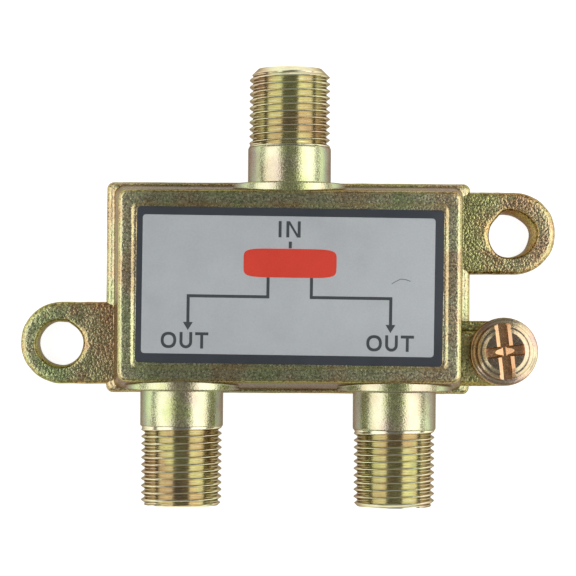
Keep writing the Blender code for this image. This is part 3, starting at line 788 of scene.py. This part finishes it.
def body_rows():
    """(half, corner, height) of the loops from the cavity's edge, round the rim and up to the front."""
    rows = [
        (CAVITY_HALF, CAVITY_CORNER, REBATE_TOP),
        (REBATE_HALF, CAVITY_CORNER, REBATE_TOP),
        (REBATE_HALF, CAVITY_CORNER, REBATE_EDGE),
        (grown(REBATE_HALF, REBATE_EDGE), CAVITY_CORNER, 0.0),
    ]
    rows += [(grown(RIM_HALF, margin * MM), RIM_CORNER, z * MM) for margin, z in RIM_PROFILE]
    foot = wall_half(WALL_START)
    rows += [
        ((RIM_HALF[0] - 0.46 * MM, foot[1] + 0.15 * MM), RIM_CORNER, 2.96 * MM),
        ((RIM_HALF[0] - 0.58 * MM, foot[1] + 0.1 * MM), RIM_CORNER, 2.98 * MM),
        ((foot[0] + 0.16 * MM, foot[1] + 0.06 * MM), WALL_CORNER, 3.0 * MM),
        ((foot[0] + 0.05 * MM, foot[1] + 0.03 * MM), WALL_CORNER, 3.08 * MM),
        (foot, WALL_CORNER, WALL_START),
    ]
    rows += [(wall_half(z), WALL_CORNER, z) for z in WALL_LEVELS]
    side_top = BODY_DEPTH - FRONT_EDGE
    side = wall_half(side_top)
    for step in range(1, 8):
        angle = math.pi / 2 * step / 7
        inset = FRONT_EDGE * (1 - math.cos(angle))
        rise = FRONT_EDGE * math.sin(angle)
        rows.append((grown(side, -inset), WALL_CORNER - inset, side_top + rise))
    front = grown(side, -FRONT_EDGE)
    for part in (0.25, 0.5, 0.75):
        half = tuple(a + (b + RECESS_LIP[0][0] * MM - a) * part for a, b in zip(front, RECESS_HALF))
        rows.append((half, FRONT_CORNER, BODY_DEPTH))
    return rows


def make_body():
    shape = Shape()
    loops = [rounded_loop(half, corner, z) for half, corner, z in body_rows()]
    for margin, drop, share in RECESS_LIP:
        corner = RECESS_CORNER + 0.4 * margin * MM
        loop = rounded_loop(grown(RECESS_HALF, margin * MM), corner, BODY_DEPTH - drop * MM)
        turn = Matrix.Rotation(PRINT_TURN * share, 4, "Z")
        loops.append([turn @ Vector(point) for point in loop])
    shape.loft(loops)
    shape.cap(loops[-1])
    shape.cap(rounded_loop(CAVITY_HALF, CAVITY_CORNER, REBATE_TOP + 0.01 * MM))
    body = shape.build("housing_casting", [CAST])
    roughen(body, *BODY_NOISE)
    return body


def tongue_reach(angle, half, centre):
    """Distance from a tongue's centre to its outline, which runs straight back into the wall."""
    if math.cos(angle) >= 0:
        return half
    to_root = (centre[0] - ROOT) / -math.cos(angle)
    to_side = half / max(abs(math.sin(angle)), 1e-6)
    return min(to_root, to_side)


def tongue_row(inset, z, radius=EAR_RADIUS, centre=EAR_CENTRE):
    """An outline row of a tongue, inset from its edge."""
    return uneven_ring([tongue_reach(angle, radius - inset, centre) for angle in ANGLES], z, centre)


def blend_rows(first, last, steps):
    """Rows between two rows, both left out."""
    return [
        [Vector(a).lerp(Vector(b), step / steps) for a, b in zip(first, last)] for step in range(1, steps)
    ]


def make_ear(name, turn, drift, lean, waves, nick):
    """A fixing ear: a rounded tongue with an uneven cast hole that leans and opens to the front."""
    depth, place, width = nick

    def wobble(angle):
        swell = sum(height * math.sin(count * angle + start) for height, count, start in waves)
        return (swell + depth * math.exp(-(((angle - place) / width) ** 2))) * MM

    hole = []
    for growth, z, share in EAR_HOLE_ROWS:
        radii = [EAR_HOLE_RADIUS + growth * MM + wobble(angle) for angle in ANGLES]
        centre = [EAR_CENTRE[axis] + drift[axis] + lean[axis] * share for axis in (0, 1)]
        hole.append(uneven_ring(radii, z * MM, centre))
    outline = [(inset, EAR_TOP - drop) for inset, drop in rounding(0.8 * MM, 0.5 * MM, 7)]
    edge = [tongue_row(inset, z) for inset, z in (*outline, (0.0, 1.4 * MM), *TONGUE_BASE)]
    rows = hole + blend_rows(hole[-1], edge[0], 8) + edge + blend_rows(edge[-1], hole[0], 5) + [hole[0]]
    shape = Shape().loft(rows)
    ear = shape.placed(Matrix.Rotation(turn, 4, "Z")).build(name, [COARSE], sharp=50.0)
    roughen(ear, *EAR_NOISE)
    return ear


def make_lug():
    """The ground lug: its base, and the pad under the washer, a step above its upper edge."""
    rim = rounding(0.4 * MM, 0.32 * MM, 5)
    outline = [(inset, LUG_STEP - drop) for inset, drop in rim]
    base = [tongue_row(inset, z, LUG_RADIUS, LUG_CENTRE) for inset, z in (*outline, *TONGUE_BASE)]
    hole = ring(LUG_HOLE_RADIUS, LUG_STEP, centre=SCREW_CENTRE)
    low_hole = ring(LUG_HOLE_RADIUS, 0.0, centre=SCREW_CENTRE)
    top = [hole] + blend_rows(hole, base[0], 5)
    shape = Shape().loft(top + base + blend_rows(base[-1], low_hole, 4) + [low_hole, hole])

    def pad_row(inset, z):
        row = []
        for angle in ANGLES:
            c, s = math.cos(angle), math.sin(angle)
            reach_x = LUG_RADIUS - PAD_INSET - inset
            reach_y = LUG_RADIUS - LUG_SHOULDER - inset if s > 0 else reach_x
            if c < 0:
                reach_x = reach_y = min((LUG_CENTRE[0] - ROOT) / -c, reach_y / max(abs(s), 1e-6))
            row.append((LUG_CENTRE[0] + reach_x * c, LUG_CENTRE[1] + reach_y * s, z))
        return row

    pad = [pad_row(inset, LUG_TOP - drop) for inset, drop in rim]
    for inset, z in ((0.0, 0.12 * MM), (-0.12 * MM, 0.0), (-0.1 * MM, -0.2 * MM)):
        pad.append(pad_row(inset, LUG_STEP + z))
    top_hole = ring(LUG_HOLE_RADIUS + 0.15 * MM, LUG_TOP, centre=SCREW_CENTRE)
    deep_hole = ring(LUG_HOLE_RADIUS, LUG_TOP - 0.15 * MM, centre=SCREW_CENTRE)
    shape.loft([hole, deep_hole, top_hole] + blend_rows(top_hole, pad[0], 5) + pad)
    lug = shape.build("ground_lug", [DULL], sharp=50.0)
    roughen(lug, *LUG_NOISE)
    return lug


# Threads: height across one pitch, as (place, share of the depth)
THREAD_FORM = (
    (0.00, 0.96),
    (0.05, 1.00),
    (0.11, 0.96),
    (0.19, 0.78),
    (0.29, 0.50),
    (0.39, 0.22),
    (0.47, 0.06),
    (0.55, 0.00),
    (0.63, 0.06),
    (0.71, 0.22),
    (0.81, 0.50),
    (0.91, 0.78),
)


def form_height(place):
    """Share of the thread's depth at a place across its pitch."""
    place %= 1.0
    stops = THREAD_FORM + ((1.0, THREAD_FORM[0][1]),)
    for (low, first), (high, second) in zip(stops, stops[1:]):
        if place <= high:
            return first + (second - first) * (place - low) / (high - low)


def add_thread(shape, start, end, radius, depth, limit, run_out=0.6, steps=AROUND, finish=0):
    """A true right-hand helix from start to end, and its radii at both. limit gives the largest radius
    at a height, and run_out the turns over which the thread deepens."""
    per_pitch = len(THREAD_FORM)
    turns = math.ceil((end - start) / THREAD_PITCH) + 3
    count = turns * per_pitch

    def reach(height, turn):
        share = form_height((height - start) / THREAD_PITCH - turn)
        ramp = smooth_step((height - start) / (run_out * THREAD_PITCH))
        return min(radius - depth * (1 - share) * ramp, limit(height))

    first = len(shape.points)
    for index in range(steps):
        turn = index / steps
        angle = math.tau * turn
        for row in range(count):
            place = row // per_pitch + THREAD_FORM[row % per_pitch][0]
            height = min(max(start + THREAD_PITCH * (place - 1 + turn), start), end)
            r = reach(height, turn)
            shape.points.append(Vector((r * math.cos(angle), r * math.sin(angle), height)))
    for index in range(steps):
        last = index == steps - 1
        shift = per_pitch if last else 0
        for row in range(count - 1 - shift):
            here = first + index * count + row
            there = first + ((index + 1) % steps) * count + row + shift
            shape.faces.append((here, here + 1, there + 1, there))
            shape.finishes.append(finish)
    low = [reach(start, index / steps) for index in range(steps)]
    high = [reach(end, index / steps) for index in range(steps)]
    return low, high


def port_matrix(place, direction):
    """Lays a piece that is built upwards along a port's axis."""
    turn = Matrix.Rotation(-direction * math.pi / 2, 4, "X")
    return Matrix.Translation((place, 0.0, PORT_HEIGHT)) @ turn


def make_port(name, place, direction, collar_length, chamfer, collar_round):
    """A port: boss with a fillet to the leaning wall, collar, helical thread, mouth and bore."""

    def wall_at(angle, radius):
        return wall_half(PORT_HEIGHT - direction * radius * math.sin(angle))[1]

    def fillet_at(angle):
        front = smooth_step((-direction * math.sin(angle) - 0.55) / 0.35)
        room = BOSS_END - BOSS_EDGE - wall_at(angle, BOSS_RADIUS)
        return max(min((FILLET - FILLET_LOSS * front) * MM, 0.45 * room), LEAST_FILLET * MM)

    def foot_row(turn, sink=0.0):
        """A row of the fillet, which turns from the wall to the boss's side."""
        row = []
        for angle in ANGLES:
            fillet = fillet_at(angle)
            r = BOSS_RADIUS + fillet * (1 - math.sin(turn))
            z = wall_at(angle, r) + fillet * (1 - math.cos(turn)) - sink
            row.append((r * math.cos(angle), r * math.sin(angle), z))
        return row

    def mouth(height):
        return THREAD_RADIUS - chamfer + (PORT_END - height)

    boss_side = (BOSS_RADIUS, BOSS_END - BOSS_EDGE)
    boss_front = (BOSS_RADIUS - BOSS_EDGE, BOSS_END)
    rows = [foot_row(0.0, BOSS_SINK)] + [foot_row(math.pi / 2 * step / 5) for step in range(6)]
    rows += [ring(r, h) for r, h in [boss_side] + quarter(boss_side, boss_front, 4, False)]
    shape = Shape().loft(rows)
    collar_end = BOSS_END + collar_length
    foot = (COLLAR_RADIUS + COLLAR_FOOT, BOSS_END)
    profile = [boss_front, foot] + quarter(foot, (COLLAR_RADIUS, BOSS_END + COLLAR_FOOT), 4, True)
    profile += [(COLLAR_RADIUS, BOSS_END + collar_length * part) for part in (0.3, 0.6, 0.8)]
    bend = (COLLAR_RADIUS, collar_end - collar_round)
    thread_start = (min(THREAD_RADIUS, COLLAR_RADIUS - 0.5 * collar_round), collar_end)
    profile += [bend] + quarter(bend, thread_start, 4, False)
    low, high = add_thread(shape, collar_end, PORT_END, THREAD_RADIUS, THREAD_DEPTH, mouth, finish=1)
    shape.loft([ring(r, h) for r, h in profile] + [uneven_ring(low, collar_end)])
    bore = [(BORE_RADIUS + BORE_EDGE, PORT_END), (BORE_RADIUS, PORT_END - BORE_EDGE)]
    bore += [(BORE_RADIUS, INSULATOR_BACK), (BORE_RADIUS, SHOULDER), (SHOULDER_HOLE, SHOULDER)]
    shape.loft([uneven_ring(high, PORT_END)] + [ring(r, h) for r, h in bore], 1)
    shape.placed(port_matrix(place, direction))
    return shape.build(name + "_port", [TURNED, THREADED], sharp=38.0)


def make_insulator(name, place, direction):
    """The plastic plug at a port's mouth, with softened edges and a flared entry."""
    pocket = 1.1 * MM
    hole = 0.75 * MM
    back, front = INSULATOR_BACK, INSULATOR_FRONT
    profile = [
        (pocket, back),
        (PLUG_RADIUS - 0.1 * MM, back),
        (PLUG_RADIUS, back + 0.1 * MM),
        (PLUG_RADIUS, front - 0.15 * MM),
        (PLUG_RADIUS - 0.04 * MM, front - 0.04 * MM),
        (PLUG_RADIUS - 0.15 * MM, front),
        (2.2 * MM, front),
        (2.1 * MM, front - 0.08 * MM),
        (1.6 * MM, front - 0.08 * MM),
        (1.5 * MM, front),
        (1.38 * MM, front),
        (1.3 * MM, front - 0.05 * MM),
        (hole, front - 0.6 * MM),
        (hole, back + 1.6 * MM),
        (pocket, back + 1.6 * MM),
        (pocket, back),
    ]
    shape = Shape().loft([ring(r, h, SMALL_AROUND) for r, h in profile])
    shape.placed(port_matrix(place, direction))
    return shape.build(name + "_plug", [PLASTIC])


# Ground terminal


def make_washer():
    """The captive washer, pressed slightly conical, with edges worn round."""
    hole = SCREW_RADIUS + 0.1 * MM
    top = WASHER_BOTTOM + WASHER_THICKNESS
    profile = [(hole, WASHER_BOTTOM + 0.08 * MM), (hole, top - 0.1 * MM), (hole + 0.1 * MM, top)]
    profile += [(2.9 * MM, top), (3.15 * MM, top - 0.04 * MM), (3.3 * MM, top - 0.05 * MM)]
    profile += [(3.4 * MM, top - 0.1 * MM), (3.6 * MM, top - 0.18 * MM)]
    side = (WASHER_RADIUS, top - 0.45 * MM)
    profile += quarter(profile[-1], side, 6, True)
    profile += quarter(side, (WASHER_RADIUS - 0.25 * MM, WASHER_BOTTOM), 4, False)
    profile += [(hole + 0.08 * MM, WASHER_BOTTOM), (hole, WASHER_BOTTOM + 0.08 * MM)]
    shape = Shape().loft([ring(r, h) for r, h in profile])
    shape.placed(Matrix.Translation((*SCREW_CENTRE, 0.0)))
    return shape.build("terminal_washer", [SCREW_PLATING])


def slot_rows():
    """Sections along the slot."""
    rows = []
    for y, drop in SLOT_DROPS:
        falls = (0.0, drop, drop, 0.0)
        side = [(half, rise - fall) for (half, rise), fall in zip(SLOT_SIDES, falls)]
        section = side + [(-half, rise) for half, rise in reversed(side)]
        rows.append([(x * MM, y * MM, HEAD_HEIGHT + rise * MM) for x, rise in section])
    return rows


def wing_rows():
    """Outlines of the cross's wings, from their floor up."""
    rows = []
    for half_x, half_y, depth in WING_LEVELS:
        corners = ((half_x, half_y), (-half_x, half_y), (-half_x, -half_y), (half_x, -half_y))
        z = HEAD_HEIGHT - depth * MM
        rows.append([(x * MM, y * MM, z + WING_TILT * (x * MM)) for x, y in corners])
    return rows


def pit_rows():
    """Sections across the pit, from its left tip to its right one."""
    rows = []
    for x, half, depth in [(-x, half, depth) for x, half, depth in PIT_ROWS[:0:-1]] + list(PIT_ROWS):
        floor = HEAD_HEIGHT - depth * MM
        corners = ((half, floor), (-half, floor), (-half, CUTTER_TOP), (half, CUTTER_TOP))
        rows.append([(x * MM, y * MM, z) for y, z in corners])
    return rows


def carve(head, cuts):
    """Takes the cuts out of the head with exact booleans, and softens the edges."""
    tools = []
    for name, rows in cuts:
        tool = prism(rows).build(name, [RECESS_PLATING])
        tool.hide_render = True
        tools.append(tool)
    for tool in tools:
        modifier = head.modifiers.new(tool.name, "BOOLEAN")
        modifier.operation = "DIFFERENCE"
        modifier.solver = "EXACT"
        modifier.material_mode = "TRANSFER"
        modifier.object = tool
    bevel = head.modifiers.new("edges", "BEVEL")
    bevel.width = HEAD_BEVEL
    bevel.segments = 2
    bevel.limit_method = "ANGLE"
    bevel.angle_limit = math.radians(32.0)
    bevel.use_clamp_overlap = True
    bpy.context.view_layer.update()
    graph = bpy.context.evaluated_depsgraph_get()
    finished = bpy.data.meshes.new_from_object(head.evaluated_get(graph))
    head.modifiers.clear()
    head.data = finished
    for tool in tools:
        bpy.data.objects.remove(tool, do_unlink=True)
    finished.shade_smooth()
    finished.set_sharp_from_angle(angle=math.radians(13.0))


def make_head():
    """The screw's pan head: a full slot over a cross recess, whose floors fall to a star-shaped pit."""
    profile = [(WELD / 2, HEAD_HEIGHT), (1.2 * MM, HEAD_HEIGHT)]
    profile += [(HEAD_FLAT + outside * MM, HEAD_HEIGHT - drop * MM) for outside, drop in HEAD_RINGS]
    profile += quarter(profile[-1], (HEAD_RADIUS, HEAD_SHOULDER), 8, True)
    profile += [(HEAD_RADIUS, HEAD_FOOT), (HEAD_RADIUS - HEAD_FOOT, 0.0), (SCREW_RADIUS, 0.0)]
    profile.append((WELD / 2, 0.0))
    head = Shape().loft([ring(r, h) for r, h in profile]).build("ground_screw_head", [SCREW_PLATING])
    cuts = (("slot_cutter", slot_rows()), ("wing_cutter", wing_rows()), ("pit_cutter", pit_rows()))
    carve(head, cuts)
    middle = (SCREW_CENTRE[0] + HEAD_SHIFT[0], SCREW_CENTRE[1] + HEAD_SHIFT[1], SCREW_SEAT)
    head.data.transform(Matrix.Translation(middle) @ Matrix.Rotation(DRIVE_TURN, 4, "Z"))
    return head


def make_shank():
    """The screw's threaded shank, with a chamfered tip."""
    tip = SCREW_SEAT - SCREW_LENGTH
    top = SCREW_SEAT + SCREW_OVERLAP

    def limit(height):
        return SCREW_RADIUS - TIP_CHAMFER + (height - tip) * TIP_SLOPE

    shank = Shape()
    low, high = add_thread(shank, tip, top, SCREW_RADIUS, SCREW_THREAD_DEPTH, limit, 0.2, SMALL_AROUND)
    shank.cap(uneven_ring(low, tip)).cap(uneven_ring(high, top))
    shank.placed(Matrix.Translation((*SCREW_CENTRE, 0.0)))
    return shank.build("ground_screw_shank", [SCREW_PLATING])


# Label and print


def plate(half, corner, low, high, edge, centre=(0.0, 0.0)):
    """A thin plate with softened upper edges."""
    rows = []
    for margin, z in ((0.0, low), (0.0, high - edge), (-0.3 * edge, high - 0.3 * edge), (-edge, high)):
        rows.append(rounded_loop(grown(half, margin), corner, z, PLATE_STEPS, centre))
    return prism(rows)


def make_label():
    """The label: a dark border, and the silver panel printed a little left of its middle."""
    border = plate(LABEL_HALF, LABEL_CORNER, LABEL_LOW, LABEL_TOP, LABEL_EDGE)
    low, high = LABEL_TOP - PRINT_STEP, LABEL_TOP + PRINT_STEP
    panel = plate(PANEL_HALF, PANEL_CORNER, low, high, PANEL_EDGE, PANEL_CENTRE)
    return (
        border.placed(PRINT_MATRIX).build("label_plate", [LABEL_BLACK]),
        panel.placed(PRINT_MATRIX).build("label_panel", [LABEL_SILVER]),
    )


def printed(name, outlines, material):
    """Ink shapes on the panel, from faces that are lists of corner points in mm."""
    low = LABEL_TOP + PRINT_STEP * 0.5
    high = LABEL_TOP + PRINT_STEP * 2
    bm = bmesh.new()
    for outline in outlines:
        verts = [bm.verts.new((x * MM, y * MM, high)) for x, y in outline]
        bm.faces.new(verts)
    bmesh.ops.remove_doubles(bm, verts=bm.verts, dist=0.001 * MM)
    made = bmesh.ops.extrude_face_region(bm, geom=list(bm.faces))
    moved = [item for item in made["geom"] if isinstance(item, bmesh.types.BMVert)]
    bmesh.ops.translate(bm, verts=moved, vec=(0, 0, low - high))
    bmesh.ops.recalc_face_normals(bm, faces=bm.faces)
    bm.transform(PRINT_MATRIX)
    return object_from(bm, name, [material])


def ribbon(inner, outer, closed=False):
    """Faces between two lines of points."""
    count = len(inner)
    spans = count if closed else count - 1
    return [
        [inner[i], inner[(i + 1) % count], outer[(i + 1) % count], outer[i]] for i in range(spans)
    ]


def oval(centre, half, steps=40, power=2.3):
    points = []
    for index in range(steps):
        angle = math.tau * index / steps
        c, s = math.cos(angle), math.sin(angle)
        x = math.copysign(abs(c) ** (2 / power), c)
        y = math.copysign(abs(s) ** (2 / power), s)
        points.append((centre[0] + half[0] * x, centre[1] + half[1] * y))
    return points


def letter_o(x, y, width):
    centre = (x + width / 2, y + LEGEND_HEIGHT / 2)
    outer = oval(centre, (width / 2, LEGEND_HEIGHT / 2))
    inner = oval(centre, (width / 2 - LEGEND_STROKE, LEGEND_HEIGHT / 2 - LEGEND_STROKE))
    return ribbon(inner, outer, True)


def letter_u(x, y, width):
    top = y + LEGEND_HEIGHT
    radius = width / 2
    lines = []
    for inset in (LEGEND_STROKE, 0.0):
        bow = radius - inset
        line = [(x + inset, top)]
        for step in range(17):
            angle = math.pi + math.pi * step / 16
            line.append((x + radius + bow * math.cos(angle), y + radius + bow * math.sin(angle)))
        lines.append(line + [(x + width - inset, top)])
    return ribbon(*lines)


def letter_t(x, y, width):
    top = y + LEGEND_HEIGHT
    bar = top - LEGEND_STROKE
    left, right = x + width / 2 - LEGEND_STROKE / 2, x + width / 2 + LEGEND_STROKE / 2
    stem = [(left, y), (right, y), (right, bar)]
    return [stem + [(x + width, bar), (x + width, top), (x, top), (x, bar), (left, bar)]]


def letter_i(x, y):
    top = y + LEGEND_HEIGHT
    return [[(x, y), (x + LEGEND_STROKE, y), (x + LEGEND_STROKE, top), (x, top)]]


def letter_n(x, y, width):
    top = y + LEGEND_HEIGHT
    slant = LEGEND_STROKE * 1.15
    right = x + width
    near, far = x + LEGEND_STROKE, right - LEGEND_STROKE
    lower = [(x, y), (near, y), (near, top - slant), (right - slant, y), (right, y)]
    return [lower + [(right, top), (far, top), (far, y + slant), (x + slant, top), (x, top)]]


def legend_out(x, y):
    return letter_o(x, y, 1.72) + letter_u(x + 2.08, y, 1.4) + letter_t(x + 3.8, y, 1.46)


def legend_in(x, y):
    return letter_i(x, y) + letter_n(x + 0.86, y, 1.58)


def line_faces(points, width):
    """A line of even width along points, with mitred corners."""
    left = []
    right = []
    for index, point in enumerate(points):
        before = Vector(points[max(index - 1, 0)])
        after = Vector(points[min(index + 1, len(points) - 1)])
        here = Vector(point)
        first = (here - before).normalized() if index else (after - here).normalized()
        second = (after - here).normalized() if index < len(points) - 1 else first
        along = (first + second).normalized()
        normal = Vector((-along.y, along.x))
        stretch = width / 2 / max(normal.dot(Vector((-first.y, first.x))), 0.3)
        left.append(tuple(here + normal * stretch))
        right.append(tuple(here - normal * stretch))
    return ribbon(left, right)


def make_print():
    """The legends at the ports, a plain bar and diagram between them, and the hair that lies there."""
    dark = []
    for place in OUT_PLACES:
        dark += legend_out(*place)
    dark += legend_in(*IN_PLACE) + line_faces(INPUT_LINE, LINE_WIDTH)
    for side in (-1, 1):
        path = [(side * x, y) for x, y in OUTPUT_LINE]
        end_x, end_y = path[-1]
        dark += line_faces(path, LINE_WIDTH)
        dark.append([(end_x, ARROW_TIP), (end_x + ARROW_HALF, end_y), (end_x - ARROW_HALF, end_y)])
    return (
        printed("label_legends", dark, INK_DARK),
        printed("label_accent", [oval(BAR_CENTRE, BAR_HALF, 48, 6.0)], INK_RED),
        printed("label_hair", line_faces(HAIR_LINE, HAIR_WIDTH), INK_FAINT),
    )


def make_cover():
    """The stamped back plate, with rolled edges and a shallow pressed field."""
    rows = []
    for margin, corner, rise in COVER_ROWS:
        rows.append(rounded_loop(grown(COVER_HALF, margin * MM), corner * MM, COVER_LOW + rise * MM))
    return prism(rows).build("stamped_cover", [TIN], sharp=50.0)


# Stage


def make_floor():
    mesh = bpy.data.meshes.new("floor")
    corners = ((-1, -1), (1, -1), (1, 1), (-1, 1))
    mesh.from_pydata([(x * FLOOR_REACH, y * FLOOR_REACH, 0) for x, y in corners], [], [(0, 1, 2, 3)])
    white = painted("floor_white", FLOOR_COLOR, 0.004, 20 * MM, 0.8, 0.0, 0.0, 8.0)
    shader = white.node_tree.nodes["Principled BSDF"]
    shader.inputs["Emission Color"].default_value = (1.0, 1.0, 1.0, 1.0)
    shader.inputs["Emission Strength"].default_value = FLOOR_GLOW
    mesh.materials.append(white)
    floor = add_object("floor", mesh)
    floor.location.z = -FLOOR_DROP


def softbox(name, place, size, power, glossy):
    """A rectangular light that faces the part."""
    light = bpy.data.lights.new(name, "AREA")
    light.shape = "RECTANGLE"
    light.size, light.size_y = size
    light.energy = power
    obj = add_object(name, light)
    obj.location = place
    obj.rotation_euler = (-Vector(place)).to_track_quat("-Z", "Y").to_euler()
    obj.visible_glossy = glossy


def make_light():
    world = bpy.data.worlds.new("studio")
    world.use_nodes = True
    background = world.node_tree.nodes["Background"]
    background.inputs["Color"].default_value = SKY_COLOR
    background.inputs["Strength"].default_value = SKY_STRENGTH
    bpy.context.scene.world = world
    for light in LIGHTS:
        softbox(*light)


def make_camera():
    camera = bpy.data.cameras.new("camera")
    camera.sensor_width = CAMERA_SENSOR
    camera.lens = CAMERA_LENS
    camera.shift_x, camera.shift_y = CAMERA_SHIFT
    camera.clip_start = 0.01
    camera.clip_end = 20.0
    obj = add_object("camera", camera)
    obj.location = (*CAMERA_FOOT, CAMERA_HEIGHT)
    obj.rotation_euler = (0.0, 0.0, CAMERA_TURN)
    bpy.context.scene.camera = obj
    bpy.context.scene.view_settings.view_transform = "Standard"


def attach(obj, body, slot, *nodes):
    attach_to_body(obj, body)
    if nodes:
        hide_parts(*nodes)


def finish_node(name, material):
    """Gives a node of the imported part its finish."""
    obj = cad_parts[name]
    if not obj.material_slots:
        obj.data.materials.append(material)
    for slot in obj.material_slots:
        slot.material = material


def main():
    make_camera()
    make_light()
    make_floor()
    attach(make_body(), "splitter", "plated_casting", "housing")
    for ear in EARS:
        attach(make_ear(*ear), "splitter", "plated_casting")
    attach(make_lug(), "splitter", "plated_casting")
    for port in PORTS:
        name, place, direction = port[:3]
        attach(make_port(*port), "splitter", "plated_casting")
        attach(make_insulator(name, place, direction), "splitter", "white_plastic", name + "_insulator")
        finish_node(name + "_bush", PLASTIC)
        finish_node(name + "_contact", BRONZE)
    attach(make_head(), "screw", "plated_screw", "ground_screw")
    attach(make_shank(), "screw", "plated_screw")
    attach(make_washer(), "washer", "plated_screw", "ground_washer")
    border, panel = make_label()
    attach(border, "splitter", "label_foil", "label")
    attach(panel, "splitter", "label_foil")
    for piece in make_print():
        attach(piece, "splitter", "label_foil")
    attach(make_cover(), "splitter", "tinned_steel", "back_cover")
    for name, material in (
        ("circuit_board", LAMINATE),
        ("matching_core", FERRITE),
        ("splitter_core", FERRITE),
        ("matching_winding", ENAMEL),
        ("splitter_winding", ENAMEL),
        ("isolation_resistor", LACQUER),
        ("input_capacitor", CERAMIC),
        ("bridge_capacitor", CERAMIC),
    ):
        finish_node(name, material)
    bpy.context.view_layer.update()


main()
